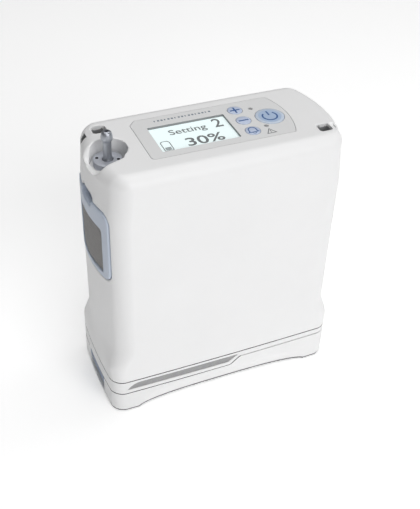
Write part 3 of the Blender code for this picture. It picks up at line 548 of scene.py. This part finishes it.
def solid_from_field(name, f, lo, hi, h, keep):
    P, Q = nets(f, lo, hi, h)
    P = project(f, P, 2, 0.3 * h)
    ob = link(mesh_from(name, P, Q), name)
    if keep < 1:
        m = ob.modifiers.new("dec", "DECIMATE")
        m.ratio = keep
        m.use_collapse_triangulate = True
        bake_modifiers(ob)
    n = len(ob.data.vertices)
    co = np.empty(n * 3, np.float32)
    ob.data.vertices.foreach_get("co", co)
    P = project(f, co.reshape(-1, 3) / MM, 2, 0.15 * h)
    ob.data.vertices.foreach_set("co", (P * MM).astype(np.float32).ravel())
    ob.data.update()
    return ob


def exact_cut(ob, bm_or_obs, op="DIFFERENCE"):
    """Cut a piece with one or more helper solids, exactly, and drop the helpers."""
    for item in (bm_or_obs if isinstance(bm_or_obs, (list, tuple)) else [bm_or_obs]):
        tmp = item
        if isinstance(item, bmesh.types.BMesh):
            me = bpy.data.meshes.new("helper")
            item.to_mesh(me)
            item.free()
            tmp = link(me, "helper")
        m = ob.modifiers.new("cut", "BOOLEAN")
        m.solver = "EXACT"
        m.operation = op
        m.object = tmp
        bake_modifiers(ob)
        bpy.data.objects.remove(tmp, do_unlink=True)
    return ob


def field_normals(ob, f, angle=28.0):
    """Shade from the field's own slope where a face follows it, flat elsewhere."""
    me = ob.data
    me.shade_smooth()
    nv, nl, npoly = len(me.vertices), len(me.loops), len(me.polygons)
    co = np.empty(nv * 3, np.float32)
    me.vertices.foreach_get("co", co)
    G = gradient(f, co.reshape(-1, 3).astype(np.float64) / MM)
    G /= np.maximum(np.linalg.norm(G, axis=1), 1e-9)[:, None]
    vi = np.empty(nl, np.int32)
    me.loops.foreach_get("vertex_index", vi)
    start = np.empty(npoly, np.int32)
    total = np.empty(npoly, np.int32)
    fn = np.empty(npoly * 3, np.float32)
    me.polygons.foreach_get("loop_start", start)
    me.polygons.foreach_get("loop_total", total)
    me.polygons.foreach_get("normal", fn)
    fn = fn.reshape(-1, 3)
    owner = np.repeat(np.arange(npoly), total)
    face_n = fn[owner]
    g = G[vi]
    ok = (g * face_n).sum(1) > math.cos(math.radians(angle))
    out = np.where(ok[:, None], g, face_n)
    me.normals_split_custom_set([tuple(v) for v in out.tolist()])
    me.update()


# =======================================================================
# plain mesh helpers (millimetres)
# =======================================================================
def prism(points, axis, c0, c1):
    bm = bmesh.new()

    def put(p, c):
        return Vector({"X": (c, p[0], p[1]), "Y": (p[0], c, p[1]), "Z": (p[0], p[1], c)}[axis]) * MM
    lo = [bm.verts.new(put(p, c0)) for p in points]
    hi = [bm.verts.new(put(p, c1)) for p in points]
    n = len(points)
    bm.faces.new(lo)
    bm.faces.new(hi)
    for i in range(n):
        bm.faces.new((lo[i], lo[(i + 1) % n], hi[(i + 1) % n], hi[i]))
    bmesh.ops.recalc_face_normals(bm, faces=bm.faces)
    return bm


def circle(cx, cy, r, n=48, a0=0.0):
    return [(cx + r * math.cos(a0 + 2 * math.pi * i / n), cy + r * math.sin(a0 + 2 * math.pi * i / n)) for i in range(n)]


def rrect(x0, x1, y0, y1, r, n=6):
    pts = []
    for cx, cy, a0 in ((x1 - r, y1 - r, 0), (x0 + r, y1 - r, 90), (x0 + r, y0 + r, 180), (x1 - r, y0 + r, 270)):
        for i in range(n + 1):
            t = math.radians(a0 + 90 * i / n)
            pts.append((cx + r * math.cos(t), cy + r * math.sin(t)))
    return pts


def box_bm(x0, x1, y0, y1, z0, z1):
    return prism([(x0, y0), (x1, y0), (x1, y1), (x0, y1)], "Z", z0, z1)


def piece_bm(bm, name, mat, body, replaces=(), smooth=None, bevel=0.0, segs=2):
    me = bpy.data.meshes.new(name)
    bmesh.ops.recalc_face_normals(bm, faces=bm.faces)
    bm.to_mesh(me)
    bm.free()
    ob = link(me, name)
    return dress(ob, mat, body, replaces, smooth, bevel, segs)


def dress(ob, mat, body, replaces=(), smooth=None, bevel=0.0, segs=2):
    if bevel:
        m = ob.modifiers.new("edge", "BEVEL")
        m.width = bevel * MM
        m.segments = segs
        m.limit_method = "ANGLE"
        m.angle_limit = math.radians(35)
        bake_modifiers(ob)
    me = ob.data
    me.materials.clear()
    for k in (mat if isinstance(mat, (list, tuple)) else [mat]):
        me.materials.append(k)
    if smooth is not None:
        me.shade_smooth()
        me.set_sharp_from_angle(angle=math.radians(smooth))
    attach(ob, body)
    if replaces:
        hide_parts(*replaces)
    return ob


def ribbon(points, w, z0, z1, closed=False):
    """Flat printed stroke of width w along a polyline, as a thin solid."""
    bm = bmesh.new()
    n = len(points)
    left, right = [], []
    for i, p in enumerate(points):
        a = points[(i - 1) % n] if (closed or i > 0) else p
        c = points[(i + 1) % n] if (closed or i < n - 1) else p
        d1 = Vector((p[0] - a[0], p[1] - a[1]))
        d2 = Vector((c[0] - p[0], c[1] - p[1]))
        d1 = d1.normalized() if d1.length > 1e-9 else d2.normalized()
        d2 = d2.normalized() if d2.length > 1e-9 else d1
        t = (d1 + d2)
        t = t.normalized() if t.length > 1e-6 else d1
        nrm = Vector((-t.y, t.x))
        k = w / 2 / max(0.45, nrm.dot(Vector((-d1.y, d1.x))))
        left.append((p[0] + nrm.x * k, p[1] + nrm.y * k))
        right.append((p[0] - nrm.x * k, p[1] - nrm.y * k))
    rows = []
    for i in range(n):
        rows.append([bm.verts.new(Vector((q[0], q[1], z)) * MM) for q, z in ((left[i], z0), (right[i], z0), (right[i], z1), (left[i], z1))])
    m = n if closed else n - 1
    for i in range(m):
        a, b = rows[i], rows[(i + 1) % n]
        for k in range(4):
            bm.faces.new((a[k], a[(k + 1) % 4], b[(k + 1) % 4], b[k]))
    if not closed:
        bm.faces.new(rows[0])
        bm.faces.new(list(reversed(rows[-1])))
    bmesh.ops.recalc_face_normals(bm, faces=bm.faces)
    return bm


def merged(bms):
    """Join several separate closed forms into one bmesh."""
    out = bmesh.new()
    for b in bms:
        me = bpy.data.meshes.new("part")
        b.to_mesh(me)
        b.free()
        out.from_mesh(me)
        bpy.data.meshes.remove(me)
    return out


def lathe(profile, cx, cy, n=64):
    """Closed profile of (radius, z) points turned about a vertical axis."""
    bm = bmesh.new()
    rings = []
    for r, z in profile:
        rings.append([bm.verts.new(Vector((cx + r * math.cos(2 * math.pi * i / n), cy + r * math.sin(2 * math.pi * i / n), z)) * MM)
                      for i in range(n)])
    for a, b in zip(rings, rings[1:] + rings[:1]):
        for i in range(n):
            bm.faces.new((a[i], a[(i + 1) % n], b[(i + 1) % n], b[i]))
    bmesh.ops.recalc_face_normals(bm, faces=bm.faces)
    return bm


def words(text, x, y, z, size, body, mat, name, bold=0.0, width=1.0):
    cu = bpy.data.curves.new(name, "FONT")
    cu.body = text
    cu.size = size * MM
    cu.extrude = 0.00002
    cu.offset = bold * MM
    cu.resolution_u = 4
    ob = bpy.data.objects.new(name, cu)
    bpy.context.scene.collection.objects.link(ob)
    ob.location = (x * MM, y * MM, z * MM)
    ob.scale = (width, 1, 1)
    bpy.context.view_layer.update()
    dg = bpy.context.evaluated_depsgraph_get()
    me = bpy.data.meshes.new_from_object(ob.evaluated_get(dg))
    me.transform(ob.matrix_world)
    bpy.data.objects.remove(ob, do_unlink=True)
    bm = bmesh.new()
    bm.from_mesh(me)
    bmesh.ops.remove_doubles(bm, verts=bm.verts, dist=1e-6)
    bpy.data.meshes.remove(me)
    return piece_bm(bm, name, mat, body)


# =======================================================================
# white shells
# =======================================================================
H_UP, H_LO = ((0.75, 0.6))

# upper housing
PANEL_X0, PANEL_XR, PANEL_Y0, PANEL_Y1 = -42.2, 46.7, -19.0, 22.0
LCD = (-34.2, 11.4, -13.4, 12.0)
BUTTONS = {"button_plus": (19.4, 13.4, 4.2), "button_minus": (19.5, 1.6, 4.2),
           "button_alert": (19.8, -10.1, 4.2), "button_power": (35.5, 0.9, 8.3)}
LEDS = {"status_led": (28.7, 12.2), "alert_led": (29.1, -7.9)}


def panel_outline(g, n=28):
    x0, y0, y1 = PANEL_X0 + g, PANEL_Y0 + g, PANEL_Y1 - g
    sag, half = 4.6, (PANEL_Y1 - PANEL_Y0) / 2
    rad = (half * half + sag * sag) / (2 * sag)
    ym = (PANEL_Y0 + PANEL_Y1) / 2
    xc = PANEL_XR - rad
    arc = []
    for i in range(n + 1):
        y = y0 + 1.2 + (y1 - y0 - 2.4) * i / n
        arc.append((xc + math.sqrt((rad - g) ** 2 - (y - ym) ** 2), y))
    pts = [(x0 + 2.0, y0), (arc[0][0] - 1.6, y0), (arc[0][0] - 0.5, y0 + 0.35)] + arc
    pts += [(arc[-1][0] - 0.5, y1 - 0.35), (arc[-1][0] - 1.6, y1), (x0 + 4.0, y1), (x0, y1 - 4.2), (x0, y0 + 2.0), (x0 + 0.6, y0 + 0.6)]
    return pts


def face_material(ob, index, test):
    """Give another material slot to the faces whose centre and normal pass the test."""
    for p in ob.data.polygons:
        c = p.center / MM
        if test(c, p.normal):
            p.material_index = index


upper = solid_from_field("upper_housing_shell", f_upper, (-78.5, -36.5, 20.5), (78.5, 36.5, 173.0), H_UP, 0.30)
exact_cut(upper, box_bm(-90, 90, -50, 50, 25.35, 190), "INTERSECT")
exact_cut(upper, prism(panel_outline(0), "Z", 169.6, 180))
exact_cut(upper, box_bm(LCD[0] - 1.2, LCD[1] + 1.2, LCD[2] - 1.2, LCD[3] + 1.2, 160, 175))
for bx, by, br in BUTTONS.values():
    exact_cut(upper, prism(circle(bx, by, br + 0.5, 48), "Z", 160, 175))
for lx, ly in LEDS.values():
    exact_cut(upper, prism(circle(lx, ly, 1.4, 24), "Z", 160, 175))
dress(upper, [M_WHITE, M_SEAM, M_EYE_SHADE], "housing", ["upper_housing"])
face_material(upper, 1, lambda c, n: n.z < -0.9 and c.z < 25.8)
# inner faces of the strap eyes get the painted shade
for s_ in (-1, 1):
    face_material(upper, 2, lambda c, n: c.z < 169.0 and c.z > 158 and abs(s_ * c.x - 61.6) < 8.6 and abs(s_ * c.y + 20.0) < 4.3
                  and outer(c.x, c.y, c.z) < -0.9)
field_normals(upper, f_upper)


# lower housing: band with the exhaust slot
def f_band(x, y, z):
    return foot_skin(x, y, z)


def ring_points(z, inset=0.0, na=14):
    """Outline of the foot at height z as a list of points."""
    a, b, r = 75.0 - inset, 34.0 - inset, max(8.0 - 0.6 * inset, 2.5)
    pts = []
    quads = ((1, 1, 0), (-1, 1, 90), (-1, -1, 180), (1, -1, 270))
    for k, (sx, sy, a0) in enumerate(quads):
        cx, cy = sx * (a - r), sy * (b - r)
        for i in range(na + 1):
            t = math.radians(a0 + 90 * i / na)
            pts.append((cx + r * math.cos(t), cy + r * math.sin(t)))
        nx = quads[(k + 1) % 4]
        ex = (nx[0] * (a - r) + r * math.cos(math.radians(nx[2])), nx[1] * (b - r) + r * math.sin(math.radians(nx[2])))
        n = 26 if k % 2 == 0 else 14
        sx0, sy0 = pts[-1]
        for i in range(1, n):
            t = i / n
            pts.append((sx0 * (1 - t) + ex[0] * t, sy0 * (1 - t) + ex[1] * t))
    return [(x / (1 + 1.8 * (y / 34.0) ** 2 / 75.0), y / (1 + 0.8 * (x / 75.0) ** 2 / 34.0), z) for x, y in pts]


def stack(rings):
    bm = bmesh.new()
    rs = [[bm.verts.new(Vector(p) * MM) for p in ring] for ring in rings]
    n = len(rs[0])
    for a, b in zip(rs, rs[1:]):
        for i in range(n):
            bm.faces.new((a[i], a[(i + 1) % n], b[(i + 1) % n], b[i]))
    bm.faces.new(list(reversed(rs[0])))
    bm.faces.new(rs[-1])
    bmesh.ops.recalc_face_normals(bm, faces=bm.faces)
    return bm


def seam_profile(low, high, x_end=90, z_end=2, dx=0.0):
    """Line of the battery seam: low on the left, a soft step up, high on the right."""
    pts = []
    for i in range(17):
        t = i / 16
        s = t * t * (3 - 2 * t)
        pts.append((2.6 + dx + 7.8 * t, low + (high - low) * (0.35 * t + 0.65 * s)))
    return pts


SLOT = [(-65.2, 18.1), (2.0, 18.0), (8.9, 22.7), (8.6, 22.9), (-56.4, 22.9), (-58.8, 22.6), (-60.8, 21.9), (-62.6, 20.8), (-64.2, 19.4)]


def slot_pts(g):
    cx, cz = -28.0, 20.4
    out = []
    for x, z in SLOT:
        out.append((x + (g if x < -50 else -g), z + (g if z < cz - 1.2 else -g)))
    return out


zs = [15.5, 17.5, 20, 22.5, 24.3, 24.65]
lower = link(bpy.data.meshes.new("lower_housing_shell"), "lower_housing_shell")
stack([ring_points(z) for z in zs]).to_mesh(lower.data)
room = [stack([ring_points(22.8, 2.2), ring_points(30, 2.2)])]
exact_cut(lower, room)
step = seam_profile(15.45, 20.85)
exact_cut(lower, prism([(2.6, 10)] + step + [(90, 20.85), (90, 10)], "Y", -40, 40))
exact_cut(lower, box_bm(-68.0, 30, -21.8, 21.8, 10, 20.85))
exact_cut(lower, prism(slot_pts(0), "Y", -40, -31.4))
exact_cut(lower, box_bm(-58, 0, -31.8, -24.0, 18.0, 30))
for sx in (-1, 1):
    for sy in (-1, 1):
        exact_cut(lower, prism(circle(sx * 64.6, sy * 26.8, 1.9, 24), "Z", 10, 40))
        exact_cut(lower, prism(circle(sx * 64.6, sy * 26.8, 3.4, 32), "Z", 10, 22.4))
exact_cut(lower, box_bm(39.5, 54.5, -10, 10, 10, 30))
dress(lower, [M_WHITE_FOOT, M_SEAM], "housing", ["lower_housing"], bevel=0.16, segs=2)
face_material(lower, 1, lambda c, n: (n.z > 0.9 and c.z > 24.5) or (n.z < -0.6 and c.z < 21.2))
field_normals(lower, foot_skin, 32)

# battery case
case = solid_from_field("battery_case_shell", f_battery, (-76.5, -35.5, -1.6), (76.5, 35.5, 24.0), H_LO, 0.38)
exact_cut(case, box_bm(-90, 90, -50, 50, -5, 20.25), "INTERSECT")
low = 14.9
step = seam_profile(low, 20.25, dx=0.35)
for sy in (-1, 1):
    y0, y1 = sorted((sy * 21.5, sy * 40))
    exact_cut(case, prism([(-90, low)] + step + [(step[-1][0], 30), (-90, 30)], "Y", y0, y1))
exact_cut(case, box_bm(-90, -67.6, -40, 40, low, 30))
exact_cut(case, box_bm(-65.0, 67.8, -19.9, 19.9, -5, 19.75))
exact_cut(case, box_bm(-70, -60, -8, 8, 16, 19))
dress(case, [M_WHITE_FOOT, M_SEAM], "battery", ["battery_case"])
face_material(case, 1, lambda c, n: n.z > 0.6 and c.z > 14.7 and (abs(c.y) > 21.3 or abs(c.x) > 66))
field_normals(case, f_battery, 32)
# thin dark strip along the bottom edge of the case
bottom_strip = solid_from_field("battery_bottom_strip", f_bottom_strip, (-76.0, -35.0, -0.6), (76.0, 35.0, 1.7), 0.5, 0.3)
exact_cut(bottom_strip, box_bm(-65.0, 67.8, -19.9, 19.9, -5, 19.75))
exact_cut(bottom_strip, box_bm(-90, 90, -50, 50, 0.0, 0.95), "INTERSECT")
dress(bottom_strip, M_BOTTOM_STRIP, "battery", smooth=30)

# exhaust grille: a fine screen that follows the curve of the band
gr = link(bpy.data.meshes.new("exhaust_grille_screen"), "exhaust_grille_screen")
prism(slot_pts(0.14), "Y", -36, -31.9).to_mesh(gr.data)
exact_cut(gr, stack([ring_points(16, 0.38), ring_points(25, 0.38)]), "INTERSECT")
dress(gr, M_GRILLE, "housing", ["exhaust_grille"])

# =======================================================================
# control panel
# =======================================================================
panel = link(bpy.data.meshes.new("control_panel_film"), "control_panel_film")
prism(panel_outline(0.3), "Z", 169.9, TOP).to_mesh(panel.data)
exact_cut(panel, prism(rrect(*LCD, 0.5, 4), "Z", 165, 175))
for bx, by, br in BUTTONS.values():
    exact_cut(panel, prism(circle(bx, by, br + 0.3, 64), "Z", 165, 175))
for lx, ly in LEDS.values():
    exact_cut(panel, prism(circle(lx, ly, 1.3, 28), "Z", 165, 175))
dress(panel, [M_PANEL, M_WINDOW_SHADE], "housing", ["control_panel"], smooth=25)
# the cut walls of the display window get the painted shade
face_material(panel, 1, lambda c, n: abs(n.z) < 0.5 and LCD[0] - 0.2 < c.x < LCD[1] + 0.2 and LCD[2] - 0.2 < c.y < LCD[3] + 0.2)

# dark ring between the film and the display glass, painted shade continuing the shaded walls of the display window
shade_ring = link(bpy.data.meshes.new("display_shade_ring"), "display_shade_ring")
prism(rrect(LCD[0] - 0.85, LCD[1] + 0.85, LCD[2] - 0.85, LCD[3] + 0.85, 0.4, 3), "Z", 169.62, 169.88).to_mesh(shade_ring.data)
exact_cut(shade_ring, prism(rrect(*LCD, 0.5, 4), "Z", 165, 175))
dress(shade_ring, M_WINDOW_SHADE, "housing")

# display glass with its printed readings
glass = prism(rrect(LCD[0] - 0.9, LCD[1] + 0.9, LCD[2] - 0.9, LCD[3] + 0.9, 0.6, 4), "Z", 168.7, 169.6)
piece_bm(glass, "display_glass", M_LCD, "housing", ["display_window"])
ZT = 169.63
words("Setting", -24.0, 2.9, ZT, 7.2, "housing", M_LCD_INK, "lcd_word", bold=0.06, width=1.12)
words("2", 2.6, 2.3, ZT, 12.4, "housing", M_LCD_INK, "lcd_figure", bold=0.12, width=0.92)
words("30%", -18.8, -10.7, ZT, 11.2, "housing", M_LCD_INK, "lcd_percent", bold=0.16, width=1.20)
bx0, bx1, by0, by1 = -31.9, -26.9, -11.3, -2.0
icon = [ribbon([(bx0 + 0.9, by1), (bx0, by1 - 1.4), (bx0, by0 + 0.5), (bx0 + 0.5, by0), (bx1 - 0.5, by0), (bx1, by0 + 0.5), (bx1, by1 - 1.4), (bx1 - 0.9, by1)],
               0.5, ZT - 0.02, ZT + 0.02, closed=True)]
for k in range(3):
    icon.append(prism(rrect(bx0 + 0.8, bx1 - 0.8, by0 + 0.7 + 0.95 * k, by0 + 1.35 + 0.95 * k, 0.1, 2), "Z", ZT - 0.02, ZT + 0.02))
piece_bm(merged(icon), "lcd_battery_mark", M_LCD_INK, "housing")

# neutral printed marks above the display
marks = [prism(rrect(-28.2 + 2.05 * k, -28.2 + 2.05 * k + (1.25 if k % 3 else 0.75), 16.7, 18.1, 0.3, 3), "Z", 171.0, 171.03) for k in range(17)]
piece_bm(merged(marks), "panel_marks", M_PRINT_SLATE, "housing")


# buttons
def button(name, extra=()):
    bx, by, br = BUTTONS[name]
    body = BODY_OF[name]
    prof = [(br * 0.985, 171.15), (br, 171.02), (br, 163.0), (0.8, 163.0), (0.8, 171.15)]
    bm = lathe([(br - 0.18, 171.15), (br - 0.05, 171.10), (br, 171.0), (br, 163.0), (0.02, 163.0), (0.02, 171.15)], bx, by, 64)
    ob = piece_bm(bm, name + "_cap", M_BTN_RING if name == "button_power" else M_BTN, body, [name], smooth=40)
    return ob


for nm in BUTTONS:
    button(nm)
zi, zj = 171.152, 171.19
bx, by, br = BUTTONS["button_plus"]
w = 0.42
w, e = 0.5, 3.0
plus = [(-w, -e), (w, -e), (w, -w), (e, -w), (e, w), (w, w), (w, e), (-w, e), (-w, w), (-e, w), (-e, -w), (-w, -w)]
piece_bm(prism([(bx + p, by + q) for p, q in plus], "Z", zi, zj), "icon_plus", M_ICON, BODY_OF["button_plus"])
bx, by, br = BUTTONS["button_minus"]
piece_bm(prism(rrect(bx - 3.0, bx + 3.0, by - w, by + w, 0.2, 3), "Z", zi, zj), "icon_minus", M_ICON, BODY_OF["button_minus"])
bx, by, br = BUTTONS["button_alert"]
bell = [(-2.3, -1.5), (-1.8, -0.9)]
for i in range(13):
    t = math.pi - math.pi * i / 12
    bell.append((1.75 * math.cos(t), 0.55 + 1.7 * math.sin(t)))
bell += [(1.8, -0.9), (2.3, -1.5)]
b1 = ribbon([(bx + 1.28 * p, by + 0.3 + 1.28 * q) for p, q in bell], 0.62, zi, zj, closed=True)
clap = [(0.75 * math.cos(math.pi + math.pi * i / 8), -2.1 + 0.55 * math.sin(math.pi + math.pi * i / 8)) for i in range(9)]
b2 = ribbon([(bx + 1.28 * p, by + 0.3 + 1.28 * q) for p, q in clap], 0.5, zi, zj)
piece_bm(merged([b1, b2]), "icon_bell", M_ICON, BODY_OF["button_alert"])
bx, by, br = BUTTONS["button_power"]
inner = piece_bm(prism(circle(bx, by, 6.6, 56), "Z", 171.151, 171.175), "button_power_face", M_BTN_FACE, BODY_OF["button_power"])
arc = []
for i in range(41):
    t = math.radians(90 + 42) + math.radians(360 - 84) * i / 40
    arc.append((bx + 4.2 * math.cos(t), by + 4.2 * math.sin(t)))
p1 = ribbon(arc, 0.95, 171.177, 171.21)
p2 = prism(rrect(bx - 0.46, bx + 0.46, by + 0.9, by + 5.4, 0.2, 3), "Z", 171.177, 171.21)
piece_bm(merged([p1, p2]), "icon_power", M_ICON, BODY_OF["button_power"])

# alert triangle printed on the film
tx, ty = 28.9, -14.0
tri = [(tx - 2.6, ty - 1.7), (tx + 2.6, ty - 1.7), (tx, ty + 2.7)]
t1 = ribbon(tri, 0.50, 171.0, 171.03, closed=True)
t2 = prism(rrect(tx - 0.26, tx + 0.26, ty - 0.4, ty + 1.2, 0.1, 2), "Z", 171.0, 171.03)
t3 = prism(circle(tx, ty - 0.95, 0.30, 12), "Z", 171.0, 171.03)
piece_bm(merged([t1, t2, t3]), "icon_alert", M_PRINT_GREY, "housing")
for nm, (lx, ly) in LEDS.items():
    bm = lathe([(0.85, 171.12), (1.0, 171.0), (1.0, 162.2), (0.02, 162.2), (0.02, 171.16), (0.5, 171.16)], lx, ly, 28)
    piece_bm(bm, nm + "_lens", M_LED, "housing", [nm], smooth=50)

# =======================================================================
# outlet nozzle and its disc
# =======================================================================
NX, NY = -60.3, 1.0
prof = [(1.15, 181.0), (1.6, 181.0), (2.1, 180.78), (2.55, 180.3), (2.85, 179.6), (3.06, 178.7), (3.18, 177.6), (3.18, 176.8), (3.06, 176.1), (2.85, 175.6),
        (2.55, 175.25), (2.38, 174.95), (2.32, 174.4), (2.28, 170.0), (2.30, 166.4), (2.40, 165.2), (2.60, 164.5), (2.9, 164.1), (2.9, 163.95),
        (2.88, 153.8), (1.15, 153.8)]
piece_bm(lathe(prof, NX, NY, 56), "cannula_nozzle_turned", M_NOZZLE, "housing", ["cannula_nozzle"], smooth=38)
R = 8.0
disc = link(bpy.data.meshes.new("nozzle_base_disc"), "nozzle_base_disc")
lathe([(3.2, 164.0), (7.65, 164.0), (7.9, 163.9), (R, 163.65), (R, 160.3), (3.2, 160.3)], NX, NY, 72).to_mesh(disc.data)
for s in (-1, 1):
    exact_cut(disc, prism(circle(NX + s * 5.3, NY - s * 2.5, 0.95, 24), "Z", 162.0, 170))
dress(disc, [M_DISC, M_BORE_SHADE], "housing", ["nozzle_base"], smooth=38)
# walls and floors of the two holes in the disc get the painted shade
face_material(disc, 1, lambda c, n: c.z < 163.6 and math.hypot(c.x - NX, c.y - NY) > 3.4 and math.hypot(c.x - NX, c.y - NY) < 7.2 and c.z > 161)


# =======================================================================
# filters
# =======================================================================
def f_frame(x, y, z):
    ax = np.abs(x)
    d = rmax(rr2(np.abs(y), np.abs(z - 122.5), 25.3, 22.6, 6.0), skin(x, y, z) - 0.5, 0.8)
    hole = rr2(np.abs(y), np.abs(z - 118.4), 18.9, 14.9, 1.6)
    d = rmax(d, -hole, 0.7)
    notch = np.maximum(rr2(np.abs(y), np.abs(z - 146.8), 8.0, 5.4, 2.0), 70.6 - ax)
    d = rmax(d, -notch, 0.5)
    return np.maximum(d, 67.6 - ax)


def f_screen(x, y, z):
    ax = np.abs(x)
    swell = 0.45 - 0.5 * np.clip(1 - (y / 18.6) ** 2, 0, 1)
    d = np.maximum(rr2(np.abs(y), np.abs(z - 118.4), 18.6, 14.6, 1.4), skin(x, y, z) + swell)
    return np.maximum(d, 67.6 - ax)


for s, side in ((-1, "left"), (1, "right")):
    x0, x1 = sorted((s * 66.0, s * 75.5))
    fr = solid_from_field("filter_frame_%s_part" % side, f_frame, (x0, -27.5, 97.5), (x1, 27.5, 147.2), 0.5, 0.4)
    dress(fr, M_FRAME, "filter_" + side, ["filter_frame_" + side])
    field_normals(fr, f_frame, 30)
    sc = solid_from_field("filter_screen_%s" % side, f_screen, (x0, -19.8, 102.5), (x1, 19.8, 134.5), 0.8, 0.5)
    dress(sc, M_MESH, "filter_" + side, ["filter_mesh_" + side])
    field_normals(sc, f_screen, 30)


# =======================================================================
# battery latch
# =======================================================================
def f_latch(x, y, z):
    xo = x - 0.30 * (y / 14.0) ** 2
    ribs = 0.10 * np.cos(2 * np.pi * (z - 8.0) / 1.7) * sm((z - 7.0) / 0.8) * sm((13.2 - z) / 0.8) * sm((11.0 - np.abs(y)) / 1.0)
    face = -(xo + 74.85) + ribs
    lean = -0.958 * (xo + 74.9) - 0.287 * (z - 8.6)
    low = -0.555 * (xo + 74.3) - 0.832 * (z - 6.6)
    d = rmax(rmax(face, z - 14.75, 0.5), lean, 1.0)
    d = rmax(d, low, 0.8)
    d = rmax(np.maximum(d, x + 69.0), 5.6 - z, 0.4)
    return rmax(d, np.abs(y) - 14.0, 0.8)


lt = solid_from_field("battery_latch_key", f_latch, (-77, -15.2, 4.4), (-67.8, 15.2, 16.2), 0.5, 0.5)
exact_cut(lt, prism(circle(-70.8, 0, 1.5, 24), "Z", 0, 13.2))
dress(lt, M_LATCH, "latch", ["battery_latch"])
field_normals(lt, f_latch, 30)

# =======================================================================
# the CAD nodes that stay get their finishes
# =======================================================================
KEEP = {
    "battery_base": M_BASE, "dc_power_inlet": M_BLACK, "nozzle_seal": M_RUBBER, "column_latch": M_LATCH,
    "display_board": M_BOARD, "main_board": M_BOARD, "battery_board": M_BOARD, "battery_contacts": M_BRASS,
    "lcd_module": M_CAST, "crankcase": M_CAST, "pressure_cylinder": M_CAST, "vacuum_cylinder": M_CAST,
    "sieve_column_a": M_CAST, "sieve_column_b": M_CAST, "valve_manifold": M_CAST,
    "compressor_motor": M_STEEL, "crank_rotor": M_STEEL, "latch_spring": M_STEEL,
    "column_base": M_BLACK, "column_cap": M_BLACK, "solenoid_valve_a": M_BLACK, "solenoid_valve_b": M_BLACK,
    "product_tank": M_BLACK, "oxygen_sensor": M_BLACK, "speaker": M_BLACK, "fan_frame": M_BLACK, "fan_rotor": M_BLACK,
    "intake_hose": M_TUBE, "product_hose": M_TUBE,
}
for k in range(1, 5):
    KEEP["housing_screw_%d" % k] = M_STEEL
    KEEP["vibration_mount_%d" % k] = M_RUBBER
    KEEP["battery_cell_%d" % k] = M_CELL
for nm, mt in KEEP.items():
    o = NODES[nm]
    if not o.material_slots:
        o.data.materials.append(mt)
    for sl in o.material_slots:
        sl.material = mt

# =======================================================================
# floor, light
# =======================================================================
bm = bmesh.new()
bmesh.ops.create_grid(bm, x_segments=1, y_segments=1, size=3.0)
me = bpy.data.meshes.new("floor")
bm.to_mesh(me)
bm.free()
floor = link(me, "floor")
fm, fnt, fb, ftc = base_nodes("floor_paper")
fnt.links.new(ramp(fnt, noise(fnt, ftc, 3.0), [(0.3, (0.93, 0.93, 0.93)), (0.7, (0.95, 0.95, 0.95))]), fb.inputs["Base Color"])
fb.inputs["Roughness"].default_value = 0.9
fb.inputs["Specular IOR Level"].default_value = 0.1
fb.inputs["Emission Color"].default_value = (1, 1, 1, 1)
fb.inputs["Emission Strength"].default_value = 0.28
me.materials.append(fm)


def area(name, loc, target, size, power, color=(1, 1, 1)):
    l = bpy.data.lights.new(name, "AREA")
    l.shape = "RECTANGLE"
    l.size, l.size_y = size
    l.energy = power
    l.color = color
    ob = bpy.data.objects.new(name, l)
    bpy.context.scene.collection.objects.link(ob)
    ob.location = loc
    d = Vector(target) - Vector(loc)
    ob.rotation_euler = d.to_track_quat("-Z", "Y").to_euler()
    return ob


area("key_front", (0.22, -1.6, 0.95), (0, 0, 0.10), (1.5, 1.1), 19.0)
area("fill_top", (0.1, 0.1, 1.5), (0, 0, 0.1), (1.5, 1.5), 15.5)
area("fill_left", (-1.5, -0.1, 0.75), (0, 0, 0.12), (1.0, 1.0), 0.3)
area("fill_right", (1.5, 0.3, 0.7), (0, 0, 0.1), (1.0, 1.2), 3)

world = bpy.context.scene.world or bpy.data.worlds.new("world")
bpy.context.scene.world = world
world.use_nodes = True
bg = world.node_tree.nodes.get("Background")
bg.inputs[0].default_value = (1, 1, 1, 1)
bg.inputs[1].default_value = 0.02
bpy.context.scene.view_settings.view_transform = "Standard"
bpy.context.scene.view_settings.look = "None"
bpy.context.scene.view_settings.exposure = 0.0
bpy.context.scene.view_settings.gamma = 1.0
